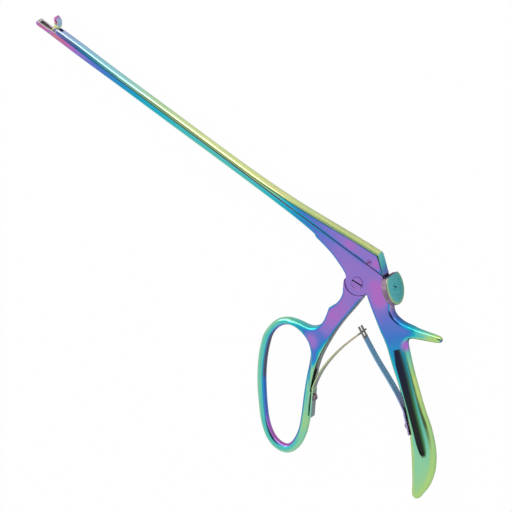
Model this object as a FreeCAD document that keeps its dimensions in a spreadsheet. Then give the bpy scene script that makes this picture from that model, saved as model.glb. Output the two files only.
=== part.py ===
"""Biopsy forceps: a fixed lower shaft with its rear grip, a slide that runs on it and
folds a hinged upper jaw onto the basket at the nose, and a ring handle that drives the slide.

The instrument lies on its side. +X runs from the nose to the rear, +Y away from the handles,
+Z out of the side that carries the screw heads. The origin is on the main pivot's axis, in the
flat side that the instrument lies on. All sizes are in millimetres.
"""
import FreeCAD, Part
import math
import os

V = FreeCAD.Vector
ORIGIN = V(0, 0, 0)
ACROSS = V(0, 0, 1)

SIZES = {
    "nose_reach": 212.0,        # pivot axis to the tip of the fixed jaw
    "shaft_bottom": 7.8,        # underside of the shaft above the pivot axis
    "seam_height": 11.7,        # sliding face between shaft and slide
    "slide_crown": 14.2,        # top of the slide along the slim shaft
    "shaft_width": 5.6,
    "plate_width": 7.0,         # thickness of the body plate and handle shank
    "running_gap": 0.06,        # between sliding faces
    "pin_gap": 0.03,            # radial, round a pin that turns
    "hinge_set_back": 9.0,      # nose to the jaw hinge
    "hinge_height": 9.6,
    "hinge_pin_radius": 0.7,
    "link_rise": 2.7,           # link pin above the hinge pin
    "link_pin_radius": 0.5,
    "link_slack": 0.14,         # each side of the link pin in the jaw's slot
    "jaw_tongue_width": 2.4,
    "fork_gap": 0.12,           # each side of the jaw's tongue and of the handle's arm
    "bite_height": 11.2,        # rim of the basket
    "basket_length": 5.6,
    "basket_width": 3.4,
    "jaw_crown": 14.1,
    "rail_neck_width": 1.5,
    "rail_head_width": 2.9,
    "rail_neck_depth": 0.8,
    "rail_head_depth": 0.9,
    "squeeze_angle": 15.0,      # travel of the ring handle
    "drive_over_seam": 1.6,     # drive screw above the sliding face
    "drive_screw_radius": 1.1,
    "arm_width": 2.8,           # thickness of the ring handle's arm between the cheeks
    "arm_breadth": 4.8,
    "cheek_radius": 6.8,
    "cheek_gap": 0.2,
    "pivot_radius": 2.0,
    "pivot_head_radius": 3.0,
    "pivot_head_depth": 1.4,
    "slot_width": 0.7,          # driver slots in the large screws
    "slot_depth": 0.7,
    "slide_heel_height": 20.4,  # top of the slide at its rear end
    "seat_top_x": 10.1,         # where the slanted seat meets the sliding face
    "seat_length": 15.8,
    "disc_radius": 9.15,
    "disc_thickness": 3.4,
    "disc_drop": 6.7,           # down the seat from the sliding face to the disc's centre
    "disc_flat": 4.8,           # from the disc's centre to its flat
    "disc_gap": 0.1,
    "disc_screw_radius": 1.2,
    "disc_screw_head_radius": 1.75,
    "disc_screw_head_depth": 1.0,
    "disc_screw_grip": 5.0,
    "knurl_depth": 0.25,
    "ring_bar_radius": 2.45,    # round bar of the finger loop
    "grip_thickness": 7.0,
    "spur_radius": 2.9,
    "spur_tip_radius": 2.2,
    "leaf_thickness": 0.8,
    "leaf_width": 5.2,
    "leaf_tip_width": 3.6,
    "leaf_seat_gap": 0.05,
    "front_foot_reach": 6.0,    # screw to the root of the blade
    "rear_foot_reach": 8.5,
    "tongue_width": 1.1,        # tongue of the front leaf in the fork of the rear leaf
    "fork_slot_width": 1.7,
    "hook_gap": 0.45,           # between the rear leaf and the tongue's shoulder and cross bar
    "leaf_screw_radius": 1.1,
    "leaf_screw_head_radius": 1.9,
    "leaf_screw_head_height": 1.3,
    "leaf_screw_grip": 2.6,
}

doc = FreeCAD.newDocument("biopsy_forceps")
sheet = doc.addObject("Spreadsheet::Sheet", "sizes")
for row, (alias, number) in enumerate(SIZES.items(), start=1):
    sheet.set(f"A{row}", alias)
    sheet.set(f"B{row}", str(number))
    sheet.setAlias(f"B{row}", alias)
doc.recompute()


def size(alias):
    """The number in the sheet's cell."""
    return float(getattr(sheet, alias))


nose_x = -size("nose_reach")
hinge = V(nose_x + size("hinge_set_back"), size("hinge_height"), 0)
seam = size("seam_height")
drive_rise = seam + size("drive_over_seam")
travel = drive_rise * math.tan(math.radians(size("squeeze_angle")))
half_swing = math.degrees(math.atan(travel / 2 / size("link_rise")))
link = hinge + V(travel / 2, size("link_rise"), 0)
drive = V(0, drive_rise, 0)
half_plate = size("plate_width") / 2
half_shaft = size("shaft_width") / 2
seat_along = V(math.sqrt(0.5), -math.sqrt(0.5), 0)
seat_out = V(math.sqrt(0.5), math.sqrt(0.5), 0)
seat_top = V(size("seat_top_x"), seam, 0)
disc_centre = seat_top + seat_along * size("disc_drop")


def curve_through(points, tangents=None):
    """A smooth edge through the points."""
    curve = Part.BSplineCurve()
    if tangents:
        curve.interpolate(Points=points, InitialTangent=tangents[0], FinalTangent=tangents[1])
    else:
        curve.interpolate(Points=points)
    return curve.toShape()


def line(start, end):
    """A straight edge."""
    return Part.LineSegment(start, end).toShape()


def arc_about(centre, radius, start_deg, end_deg):
    """An arc in the plane of the instrument, from one polar angle to the other."""
    middle = (start_deg + end_deg) / 2
    spots = [centre + V(radius * math.cos(math.radians(a)), radius * math.sin(math.radians(a)), 0)
             for a in (start_deg, middle, end_deg)]
    return Part.Arc(*spots).toShape()


def polygon(points):
    """A closed face with straight sides."""
    return Part.Face(Part.makePolygon(points + [points[0]]))


def plate(edges, width):
    """A solid from a closed outline, centred on the plane of the instrument."""
    face = Part.Face(Part.Wire(Part.__sortEdges__(edges)))
    face.translate(V(0, 0, -width / 2))
    return face.extrude(V(0, 0, width))


def block(low, high):
    """A box between two corners."""
    return Part.makeBox(high.x - low.x, high.y - low.y, high.z - low.z, low)


def cross_cylinder(centre, radius, low, high):
    """A cylinder along Z between two heights."""
    return Part.makeCylinder(radius, high - low, V(centre.x, centre.y, low), ACROSS)


def domed_section(x, width, flat_y, side_y, crown_y):
    """A closed wire across the shaft: flat face, straight sides, and an arc for the outer side."""
    half = width / 2
    corners = [V(x, flat_y, -half), V(x, flat_y, half), V(x, side_y, half), V(x, side_y, -half)]
    crown = Part.Arc(corners[2], V(x, crown_y, 0), corners[3]).toShape()
    return Part.Wire([line(corners[0], corners[1]), line(corners[1], corners[2]), crown,
                      line(corners[3], corners[0])])


def oval_section(centre, across, width, thickness):
    """A closed ellipse whose long and short axes lie along a direction in the plane and along Z."""
    spokes = [across * (width / 2), ACROSS * (thickness / 2)]
    spokes.sort(key=lambda spoke: spoke.Length, reverse=True)
    return Part.Wire(Part.Ellipse(centre + spokes[0], centre + spokes[1], centre).toShape())


def save(label, shape):
    """Puts a finished solid into the document as a node of its own."""
    node = doc.addObject("Part::Feature", label)
    node.Shape = shape
    lift = FreeCAD.Placement(V(0, 0, half_plate), FreeCAD.Rotation())
    node.Placement = lift.multiply(shape.Placement)
    node.Label = label
    return node


# fixed shaft with the basket, body plate, rear grip and thumb spur

SHAFT_STATIONS = [  # x, rise of the underside, rise of the side's lower edge, share of the plate's extra width
    (nose_x, 0.0, 1.6, 0.0), (nose_x + 22.0, 0.0, 1.6, 0.0), (-165.0, 0.0, 1.6, 0.0), (-140.0, 0.0, 1.6, 0.0),
    (-115.0, 0.0, 1.6, 0.0), (-95.0, 0.1, 1.6, 0.1), (-77.0, 0.1, 1.6, 0.3), (-60.0, 0.05, 1.5, 0.6),
    (-45.0, -0.2, 1.5, 0.9), (-30.0, -1.35, 1.5, 1.0),
]


def fixed_shaft():
    """The lower half of the shaft, which thickens into the plate."""
    wires = []
    for x, rise, edge, share in SHAFT_STATIONS:
        width = size("shaft_width") + (size("plate_width") - size("shaft_width")) * share
        bottom = size("shaft_bottom") + rise
        wires.append(domed_section(x, width, seam, bottom + edge, bottom))
    return Part.makeLoft(wires, True, False)


FRONT_EDGE = [V(-30.5, 6.55, 0), V(-24.5, 5.6, 0), V(-18.5, 4.2, 0), V(-12.5, 2.0, 0)]
GRIP_FRONT = [V(8.2, -3.6, 0), V(19.6, -12.4, 0), V(29.5, -20.2, 0), V(37.0, -27.2, 0)]
SPUR_ROOT = V(30.0, -8.4, 0)
SPUR_TIP = V(50.6, 0.2, 0)


def body_plate():
    """The flat plate from the shaft's root to the top of the grip, with its round cheek."""
    start = V(-31.0, seam, 0)
    cheek_front = V(-size("cheek_radius") * math.cos(math.radians(6)),
                    -size("cheek_radius") * math.sin(math.radians(6)), 0)
    apex = V(size("cheek_radius") * math.cos(math.radians(-14)),
             size("cheek_radius") * math.sin(math.radians(-14)), 0)
    ledge = seat_top + seat_along * size("seat_length")
    step = ledge + V(0.4, -1.8, 0)
    edges = [
        line(start, seat_top),
        line(seat_top, ledge),
        line(ledge, step),
        curve_through([step, V(24.0, -3.1, 0), V(27.5, -3.9, 0), V(31.5, -3.5, 0), V(36.5, -1.9, 0)]),
        line(V(36.5, -1.9, 0), V(36.5, -9.4, 0)),
        curve_through([V(36.5, -9.4, 0), V(35.4, -12.2, 0), V(36.9, -15.4, 0), V(41.0, -20.0, 0),
                       V(47.5, -27.2, 0), V(55.5, -36.0, 0), V(63.0, -45.2, 0)]),
        curve_through([V(63.0, -45.2, 0), V(53.0, -39.2, 0), V(45.0, -33.6, 0)] + GRIP_FRONT[::-1]),
        line(GRIP_FRONT[0], apex),
        arc_about(ORIGIN, size("cheek_radius"), -14, -174),
        curve_through([cheek_front] + FRONT_EDGE[::-1]),
        line(FRONT_EDGE[0], V(-31.0, 6.6, 0)),
        line(V(-31.0, 6.6, 0), start),
    ]
    return plate(edges, size("plate_width"))


GRIP_STATIONS = [  # centre x and y, breadth in the plane, share of the full thickness
    (32.0, -13.5, 11.6, 0.80), (38.6, -20.6, 10.8, 0.86), (46.2, -28.6, 11.0, 0.92),
    (54.8, -37.2, 12.0, 0.97), (63.2, -45.4, 13.2, 1.0), (70.7, -54.0, 14.2, 1.0),
    (76.0, -62.6, 13.8, 0.98), (79.1, -70.6, 11.0, 0.92), (80.3, -77.4, 6.8, 0.72),
]


def rear_grip():
    """The rounded palm grip as a loft of ovals square to its own line."""
    centres = [V(x, y, 0) for x, y, _, _ in GRIP_STATIONS]
    wires = []
    for i, (_, _, breadth, share) in enumerate(GRIP_STATIONS):
        ahead = centres[min(i + 1, len(centres) - 1)] - centres[max(i - 1, 0)]
        across = V(-ahead.y, ahead.x, 0).normalize()
        wires.append(oval_section(centres[i], across, breadth, size("grip_thickness") * share))
    grip = Part.makeLoft(wires, True, False)
    last = GRIP_STATIONS[-1]
    end = Part.makeSphere(1.0, ORIGIN)
    matrix = FreeCAD.Matrix()
    matrix.scale(last[2] / 2, 4.2, size("grip_thickness") * last[3] / 2)
    end = end.transformGeometry(matrix)
    heading = centres[-1] - centres[-2]
    end.rotate(ORIGIN, ACROSS, math.degrees(math.atan2(heading.y, heading.x)) + 90)
    end.translate(centres[-1])
    return grip.fuse(end)


def thumb_spur():
    """The round spur that stands off the back of the grip, turned about its own axis."""
    length = (SPUR_TIP - SPUR_ROOT).Length
    tip = size("spur_tip_radius")
    root = size("spur_radius")
    flank = curve_through([V(0, root * 1.7, 0), V(length * 0.22, root * 1.38, 0), V(length * 0.45, root * 1.1, 0),
                           V(length * 0.75, root * 0.92, 0), V(length, tip, 0)])
    end = Part.Arc(V(length, tip, 0), V(length + tip * 0.6, tip * 0.8, 0), V(length + tip, 0, 0)).toShape()
    outline = Part.Wire([line(ORIGIN, V(0, root * 1.7, 0)), flank, end, line(V(length + tip, 0, 0), ORIGIN)])
    spur = Part.Face(outline).revolve(ORIGIN, V(1, 0, 0), 360)
    slab = block(V(-1, -30, -half_plate), V(60, 30, half_plate))
    spur = spur.common(slab)
    heading = SPUR_TIP - SPUR_ROOT
    spur.rotate(ORIGIN, ACROSS, math.degrees(math.atan2(heading.y, heading.x)))
    return spur.translated(SPUR_ROOT)


def rail_profile(x_start, x_end, grow):
    """The T-shaped guide rail, grown by a clearance where it is a groove."""
    neck = size("rail_neck_width") / 2 + grow
    head = size("rail_head_width") / 2 + grow
    under = seam - size("rail_neck_depth") + grow
    base = seam - size("rail_neck_depth") - size("rail_head_depth") - grow
    top = seam + 0.5
    spots = [V(x_start, top, -neck), V(x_start, top, neck), V(x_start, under, neck),
             V(x_start, under, head), V(x_start, base, head), V(x_start, base, -head),
             V(x_start, under, -head), V(x_start, under, -neck)]
    return polygon(spots).extrude(V(x_end - x_start, 0, 0))


def jaw_pocket():
    """The room that the jaw's tongue and the link need in the shaft, open at the top."""
    half = size("jaw_tongue_width") / 2 + size("fork_gap")
    return block(V(hinge.x - 3.4, hinge.y - 1.5, -half), V(hinge.x + 4.4, seam + 1, half))


def basket():
    """The through window of the fixed jaw, with a sloping front wall."""
    half = size("basket_width") / 2
    front = nose_x + 1.3
    back = front + size("basket_length")
    low = size("shaft_bottom") - 1
    high = seam + 1
    window = polygon([V(front + 1.3, low, -half), V(back, low, -half), V(back, high, -half),
                      V(front, high, -half)]).extrude(V(0, 0, 2 * half))
    upright = [e for e in window.Edges if abs(e.Vertexes[0].Z - e.Vertexes[-1].Z) < 0.01
               and abs(e.Vertexes[0].Y - e.Vertexes[-1].Y) > 2 and e.Vertexes[0].X < front + 2]
    return window.makeFillet(0.7, upright)


def fixed_frame():
    """The whole fixed forging, cut for the moving pieces."""
    solid = fixed_shaft().fuse([body_plate(), rear_grip(), thumb_spur()]).removeSplitter()
    above_bite = block(V(nose_x - 1, size("bite_height"), -10), V(hinge.x - 1.6, seam + 5, 10))
    slope = polygon([V(hinge.x - 1.7, size("bite_height"), -10), V(hinge.x - 1.7, seam + 1, -10),
                     V(hinge.x + 1.2, seam + 1, -10), V(hinge.x + 1.2, seam, -10)]).extrude(V(0, 0, 20))
    nose_bevel = polygon([V(nose_x - 1, size("shaft_bottom") - 2, -10), V(nose_x + 3.4, size("shaft_bottom") - 2, -10),
                          V(nose_x + 1.6, size("shaft_bottom"), -10), V(nose_x - 0.6, size("bite_height") - 0.6, -10),
                          V(nose_x - 1, size("bite_height"), -10)]).extrude(V(0, 0, 20))
    arm = size("arm_width") / 2 + size("fork_gap")
    slot_top = block(V(-drive_rise * 0.27 - size("arm_breadth") / 2 - 0.6, 0, -arm),
                     V(size("arm_breadth") / 2 + 0.7, seam + 1, arm))
    round_room = cross_cylinder(ORIGIN, size("cheek_radius") + size("cheek_gap"), -arm, arm)
    side = seam - size("shaft_bottom")
    rail_room = rail_profile(hinge.x + 3.0, size("seat_top_x") + 2 * side, size("running_gap"))
    pivot_bore = cross_cylinder(ORIGIN, size("pivot_radius") + size("pin_gap"), -10, 10)
    head_seat = cross_cylinder(ORIGIN, size("pivot_head_radius") + size("pin_gap"),
                               half_plate - size("pivot_head_depth"), 10)
    hinge_bore = cross_cylinder(hinge, size("hinge_pin_radius") + size("pin_gap"), -10, 10)
    screw_bore = Part.makeCylinder(size("disc_screw_radius") + size("pin_gap"), size("disc_screw_grip") + 0.3,
                                   disc_centre, seat_out * -1)
    rear_leaf_bore = Part.makeCylinder(size("leaf_screw_radius") + size("pin_gap"), size("leaf_screw_grip") + 2.0,
                                       REAR_SCREW.at - REAR_SCREW.out * (size("leaf_screw_grip") + 0.2),
                                       REAR_SCREW.out)
    return solid.cut([above_bite, slope, nose_bevel, jaw_pocket(), basket(), slot_top, round_room, rail_room,
                      pivot_bore, head_seat, hinge_bore, screw_bore, rear_leaf_bore, rear_leaf_land()])


class ScrewSpot:
    """Where a leaf spring's screw stands: a point on the leaf's seat and the way the head faces."""

    def __init__(self, at, out):
        self.at = at
        self.out = out.normalize()
        self.along = V(-self.out.y, self.out.x, 0)

    def beside(self, reach, height):
        """A point so far along the seat from the screw, and so far above the seat."""
        return self.at + self.along * reach + self.out * height

    def outline(self, spots):
        """A closed face from pairs of reach and height."""
        return polygon([self.beside(reach, height) for reach, height in spots])


REAR_SCREW = ScrewSpot(V(59.2, -49.1, 0), V(-0.72, -0.69, 0))
FRONT_SCREW = ScrewSpot(V(8.9, -69.2, 0), V(0.91, 0.41, 0))
LEAF_LIFT = size("leaf_seat_gap") + size("leaf_thickness") / 2
FRONT_ROOT = FRONT_SCREW.beside(size("front_foot_reach"), LEAF_LIFT)
REAR_ROOT = REAR_SCREW.beside(-size("rear_foot_reach"), LEAF_LIFT)
HOOK = V(14.2, -22.2, 0)    # where the two leaves hook together


def rear_leaf_land():
    """Room for the rear leaf: a flat seat, and a slope that frees the blade when it bends."""
    root = -size("rear_foot_reach")
    spots = [(5.2, 0.0), (root - 4.5, -0.05), (root - 9.0, 0.5), (root - 16.0, 0.8), (root - 16.0, 8.0), (5.2, 8.0)]
    return REAR_SCREW.outline(spots).extrude(V(0, 0, 20)).translated(V(0, 0, -10))


# slide with its guide rail, fork for the jaw and slot for the handle's arm

SLIDE_STATIONS = [  # x, height of the crown, rise of the crown over the sides, share of the plate's extra width
    (-200.0, 0.0, 1.75, 0.0), (-170.0, 0.0, 1.75, 0.0), (-140.0, 0.0, 1.75, 0.0), (-110.0, 0.0, 1.75, 0.0),
    (-85.0, 0.05, 1.7, 0.2), (-65.0, 0.45, 1.5, 0.5),
    (-45.0, 1.5, 1.15, 0.8), (-25.0, 3.4, 0.95, 1.0), (-9.0, 5.05, 0.9, 1.0), (4.0, 6.2, 0.9, 1.0),
    (14.0, 7.0, 0.9, 1.0),
]


def slide_bar():
    """The upper half of the shaft, which rises into the heel behind the drive screw."""
    floor = seam + size("running_gap")
    front_x = link.x - 1.1
    rise_scale = (size("slide_heel_height") - size("slide_crown")) / SLIDE_STATIONS[-2][1]
    wires = []
    for i, (x, rise, arc_rise, share) in enumerate(SLIDE_STATIONS):
        width = size("shaft_width") + (size("plate_width") - size("shaft_width")) * share
        crown = size("slide_crown") + rise * rise_scale
        station = front_x if i == 0 else x
        wires.append(domed_section(station, width, floor, crown - arc_rise, crown))
    bar = Part.makeLoft(wires, True, False)
    rise = size("slide_heel_height") + 0.4 - floor
    heel_low = V(size("seat_top_x"), floor, -10)
    heel_top = heel_low + V(-rise, rise, 0)
    behind = polygon([heel_top, heel_low, heel_low + V(0, -2, 0), V(30, heel_low.y - 2, -10),
                      V(30, heel_top.y + 4, -10), heel_top + V(0, 4, 0)]).extrude(V(0, 0, 20))
    bar = bar.cut(behind)
    rail = rail_profile(hinge.x + 3.0 + travel + 0.8, -size("arm_breadth") - travel - 2.5, 0.0)
    rear_rail = rail_profile(size("arm_breadth") + 1.0, size("seat_top_x") + 0.6, 0.0)
    bar = bar.fuse([rail, rear_rail]).cut(behind)
    half_fork = size("jaw_tongue_width") / 2 + size("fork_gap")
    fork = block(V(front_x - 1, floor - 3, -half_fork), V(link.x + 3.6, seam + 6, half_fork))
    arm = size("arm_width") / 2 + size("fork_gap")
    arm_room = block(V(-size("arm_breadth") / 2 - 1.4, floor - 3, -arm),
                     V(size("arm_breadth") / 2 + 1.4, drive_rise + 3.6, arm))
    drive_bore = cross_cylinder(drive, size("drive_screw_radius") + size("pin_gap"), -10, 10)
    link_bore = cross_cylinder(link, size("link_pin_radius") + size("pin_gap"), -10, 10)
    nose_round = front_rounding(front_x)
    return bar.cut([fork, arm_room, drive_bore, link_bore, nose_round]).removeSplitter()


def front_rounding(front_x):
    """Takes the corners off the slide's front end, seen from the side."""
    radius = 1.6
    top = size("slide_crown") + 0.2
    corner = block(V(front_x - 1, top - radius, -10), V(front_x + radius, top + 1, 10))
    return corner.cut(cross_cylinder(V(front_x + radius, top - radius, 0), radius, -11, 11))


# ring handle: arm, shoulder under the cheeks, shank and finger loop

LOOP_LINE = [(-9.2, -40.0), (-18.6, -41.3), (-25.3, -46.2), (-26.8, -56.0), (-23.2, -69.0), (-15.4, -83.6),
             (-5.9, -96.2), (3.6, -102.8), (11.4, -101.4), (13.8, -92.6), (10.2, -78.6), (4.4, -64.4),
             (0.4, -52.0)]


def finger_loop():
    """The finger loop: a round bar swept round a closed chain of arcs."""
    curve = Part.BSplineCurve()
    curve.interpolate(Points=[V(x, y, 0) for x, y in LOOP_LINE], PeriodicFlag=True)
    path = Part.Wire([arc.toShape() for arc in curve.toBiArcs(0.4)])
    first = path.OrderedEdges[0]
    start = first.valueAt(first.FirstParameter)
    heading = first.tangentAt(first.FirstParameter)
    sweep = Part.BRepOffsetAPI.MakePipeShell(path)
    sweep.setBiNormalMode(ACROSS)
    sweep.add(Part.Wire(Part.Circle(start, heading, size("ring_bar_radius")).toShape()))
    sweep.build()
    sweep.makeSolid()
    return sweep.shape()


def shank():
    """The flat shank from the shoulder to the loop, with the shallow step in its front edge."""
    room = size("cheek_radius") + size("cheek_gap")
    front = V(room * math.cos(math.radians(-160)), room * math.sin(math.radians(-160)), 0)
    front_lip = front + V(-0.35, -0.2, 0)
    rear = V(room * math.cos(math.radians(-36)), room * math.sin(math.radians(-36)), 0)
    edges = [
        arc_about(ORIGIN, room, -160, -36),
        curve_through([rear, V(4.9, -12.8, 0), V(3.2, -22.7, 0), V(2.2, -32.0, 0), V(2.0, -41.0, 0),
                       V(2.6, -49.5, 0), V(4.2, -57.0, 0), V(7.4, -67.0, 0)]),
        curve_through([V(7.4, -67.0, 0), V(2.4, -58.0, 0), V(-0.8, -51.0, 0), V(-4.4, -46.2, 0), V(-9.4, -43.4, 0),
                       V(-16.0, -42.2, 0), V(-22.0, -42.8, 0)]),
        curve_through([V(-22.0, -42.8, 0), V(-17.6, -39.6, 0), V(-13.2, -38.2, 0)]),
        curve_through([V(-13.2, -38.2, 0), V(-9.2, -36.4, 0), V(-6.4, -33.0, 0), V(-5.4, -28.8, 0)]),
        curve_through([V(-5.4, -28.8, 0), V(-5.8, -24.8, 0), V(-6.5, -21.2, 0)]),
        curve_through([V(-6.5, -21.2, 0), V(-4.5, -17.4, 0), V(-3.7, -12.6, 0), V(-4.9, -7.6, 0), V(-6.2, -4.9, 0),
                       front_lip]),
        line(front_lip, front),
    ]
    return plate(edges, size("plate_width"))


def handle_arm():
    """The thin arm inside the cheeks, round at the pivot and slotted for the drive screw."""
    half = size("arm_width") / 2
    hub = cross_cylinder(ORIGIN, size("cheek_radius") - 0.3, -half, half)
    breadth = size("arm_breadth") / 2
    upright = block(V(-breadth, 0, -half), V(breadth, drive_rise + 0.6, half))
    head = cross_cylinder(drive + V(0, 0.6, 0), breadth, -half, half)
    root = polygon([V(-5.4, -3.0, -half), V(4.4, -3.0, -half), V(4.4, -9.0, -half), V(-5.0, -9.0, -half)])
    return hub.fuse([upright, head, root.extrude(V(0, 0, 2 * half))])


def ring_handle():
    """The moving handle in one piece."""
    solid = shank().fuse([finger_loop(), handle_arm()])
    radius = size("drive_screw_radius") + size("link_slack") / 2
    reach = drive_rise / math.cos(math.radians(size("squeeze_angle"))) - drive_rise + 0.15
    eye = cross_cylinder(drive + V(0, -0.15, 0), radius, -10, 10)
    top_eye = cross_cylinder(drive + V(0, reach, 0), radius, -10, 10)
    between = block(V(-radius, drive.y - 0.15, -10), V(radius, drive.y + reach, 10))
    bore = cross_cylinder(ORIGIN, size("pivot_radius") + size("pin_gap"), -10, 10)
    screw_bore = Part.makeCylinder(size("leaf_screw_radius") + size("pin_gap"), size("leaf_screw_grip") + 2.0,
                                   FRONT_SCREW.at - FRONT_SCREW.out * (size("leaf_screw_grip") + 0.2),
                                   FRONT_SCREW.out)
    return solid.cut([eye, top_eye, between, bore, screw_bore, front_leaf_land()])


def front_leaf_land():
    """Room for the front leaf: a flat seat on the loop, and a slope that frees the blade."""
    root = size("front_foot_reach")
    spots = [(-12.6, 0.0), (root + 2.0, 0.0), (root + 6.0, 0.7), (root + 10.0, 2.2), (root + 10.0, 6.0), (-12.6, 6.0)]
    return FRONT_SCREW.outline(spots).extrude(V(0, 0, 20)).translated(V(0, 0, -10))


# upper jaw, modelled shut and then swung open about its hinge

def slide_room(share):
    """Where the slide's front end stands, seen from the shut jaw, after a share of the stroke."""
    front_x = link.x - 1.1 - travel * share - 0.12
    room = block(V(front_x, seam - 1.0, -6), V(front_x + 9, size("slide_crown") + 0.12, 6))
    room.rotate(hinge, ACROSS, 2 * half_swing * (1 - share))
    return room


def upper_jaw():
    """The cutting cup with its tongue, link slot and hinge bore."""
    half = half_shaft
    back = link.x - travel - 1.1 - 0.35
    nose = nose_x + 0.25
    rim = size("bite_height") + 0.05
    crown = size("jaw_crown")
    side = [line(V(nose, rim, 0), V(nose + 0.2, rim + 0.75, 0)),
            curve_through([V(nose + 0.2, rim + 0.75, 0), V(nose + 1.5, crown - 0.75, 0), V(nose + 3.4, crown, 0)]),
            line(V(nose + 3.4, crown, 0), V(back, crown, 0)),
            line(V(back, crown, 0), V(back, rim + 0.5, 0)),
            curve_through([V(back, rim + 0.5, 0), V(back - 2.4, rim + 0.75, 0), V(nose + 1.2, rim + 0.3, 0),
                           V(nose, rim, 0)])]
    cup = plate(side, 2 * half)
    crown_edges = [e for e in cup.Edges if abs(abs(e.Vertexes[0].Z) - half) < 0.01
                   and abs(e.Vertexes[0].Z - e.Vertexes[-1].Z) < 0.01
                   and min(v.Y for v in e.Vertexes) > rim + 0.6
                   and abs(e.Vertexes[0].X - e.Vertexes[-1].X) > 1.0]
    cup = cup.makeFillet(1.1, crown_edges)
    hollow_half = size("basket_width") / 2
    hollow = block(V(nose + 1.3, rim - 1, -hollow_half), V(back - 0.9, crown - 0.8, hollow_half))
    hollow = hollow.makeFillet(0.6, [e for e in hollow.Edges if abs(e.Length - 2 * hollow_half) < 0.01
                                     and e.Vertexes[0].Y > rim])
    tongue_half = size("jaw_tongue_width") / 2
    hub = cross_cylinder(hinge, 1.35, -tongue_half, tongue_half)
    link_shut = link - V(travel, 0, 0)
    arm_line = (link_shut - hinge).normalize()
    reach = size("link_rise") / math.cos(math.radians(half_swing))
    crown_room = crown - 0.05
    tongue_side = polygon([V(hinge.x - 1.3, hinge.y, -tongue_half), V(hinge.x + 1.3, hinge.y, -tongue_half),
                           V(hinge.x + 1.1, hinge.y + 2.4, -tongue_half),
                           V(link_shut.x + 1.6, crown_room, -tongue_half),
                           V(back - 1.0, crown_room, -tongue_half),
                           V(back - 1.0, rim + 0.4, -tongue_half)])
    tongue = tongue_side.extrude(V(0, 0, 2 * tongue_half))
    cup = cup.cut([slide_room(share) for share in (0.0, 0.15, 0.35, 0.6, 0.85, 1.0)])
    slot_radius = size("link_pin_radius") + size("link_slack")
    slots = [cross_cylinder(hinge + arm_line * r, slot_radius, -10, 10)
             for r in (size("link_rise") - 0.05, reach + 0.05)]
    side_step = V(-arm_line.y, arm_line.x, 0) * slot_radius
    low, high = hinge + arm_line * (size("link_rise") - 0.05), hinge + arm_line * (reach + 0.05)
    drop = V(0, 0, -10)
    slot = polygon([low + side_step + drop, high + side_step + drop, high - side_step + drop,
                    low - side_step + drop]).extrude(V(0, 0, 20))
    bore = cross_cylinder(hinge, size("hinge_pin_radius") + size("pin_gap"), -10, 10)
    jaw = cup.cut(hollow).fuse([tongue, hub]).cut(slots + [slot, bore])
    jaw.rotate(hinge, ACROSS, -2 * half_swing)
    return jaw


# pins, screws and the lock disc

def bound(kind, label, formulas):
    """A Part object whose properties follow formulas of the sheet's cells."""
    item = doc.addObject(kind, label)
    for name, formula in formulas.items():
        item.setExpression(name, formula)
    return item


def bar_up(label, radius, height, base="0"):
    """A cylinder along its own Z, from a base height."""
    return bound("Part::Cylinder", label, {"Radius": radius, "Height": height, "Placement.Base.z": base})


def joined(label, base, tool):
    """Two objects fused into one."""
    both = doc.addObject("Part::Fuse", label)
    both.Base = base
    both.Tool = tool
    return both


def slotted(label, base, radius, top, width, depth):
    """An object with a driver slot across its top."""
    slot = bound("Part::Box", label + "_slot", {
        "Length": f"2 * {radius} + 2", "Width": width, "Height": f"{depth} + 1",
        "Placement.Base.x": f"-{radius} - 1", "Placement.Base.y": f"-{width} / 2",
        "Placement.Base.z": f"{top} - {depth}"})
    screw = doc.addObject("Part::Cut", label)
    screw.Base = base
    screw.Tool = slot
    return screw


def screw(label, head_radius, head_height, shank_radius, shank_length, slot_share=1.0):
    """A slotted screw about its own Z, with the underside of its head at zero."""
    head = bar_up(label + "_head", head_radius, head_height)
    shank_bar = bar_up(label + "_shank", shank_radius, f"{shank_length} + {head_height} / 2", f"-({shank_length})")
    both = joined(label + "_blank", head, shank_bar)
    return slotted(label, both, head_radius, head_height, f"sizes.slot_width * {slot_share}",
                   f"sizes.slot_depth * {slot_share}")


def seated(item, at, out, turn=0.0):
    """Places an object built about its own Z at a point of the middle plane, facing a direction."""
    lean = FreeCAD.Rotation(ACROSS, out)
    spin = FreeCAD.Rotation(ACROSS, turn)
    item.Placement = FreeCAD.Placement(at + V(0, 0, half_plate), lean.multiply(spin))
    item.Label = item.Name
    return item


def main_pivot_screw():
    """The large screw that joins the ring handle to the cheeks."""
    item = screw("main_pivot_screw", "sizes.pivot_head_radius", "sizes.pivot_head_depth", "sizes.pivot_radius",
                 "(sizes.plate_width - sizes.pivot_head_depth)")
    return seated(item, V(0, 0, half_plate - size("pivot_head_depth")), ACROSS, 6)


def drive_screw():
    """The small screw through the slide's heel and the handle's arm."""
    rod = bar_up("drive_screw_rod", "sizes.drive_screw_radius", "sizes.plate_width")
    item = slotted("drive_screw", rod, "sizes.drive_screw_radius", "sizes.plate_width", "sizes.slot_width * 0.7",
                   "sizes.slot_depth * 0.7")
    return seated(item, drive - V(0, 0, half_plate), ACROSS, 62)


def round_pin(label, at, radius):
    """A plain cross pin, flush with the sides of the shaft."""
    return seated(bar_up(label, radius, "sizes.shaft_width"), at - V(0, 0, half_shaft), ACROSS)


def lock_disc_screw():
    """The slotted screw that the disc turns on."""
    item = screw("lock_disc_screw", "sizes.disc_screw_head_radius", "sizes.disc_screw_head_depth",
                 "sizes.disc_screw_radius",
                 "(sizes.disc_gap + sizes.disc_thickness - sizes.disc_screw_head_depth + sizes.disc_screw_grip)", 0.8)
    sink = size("disc_gap") + size("disc_thickness") - size("disc_screw_head_depth")
    return seated(item, disc_centre + seat_out * sink, seat_out, 20)


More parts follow.
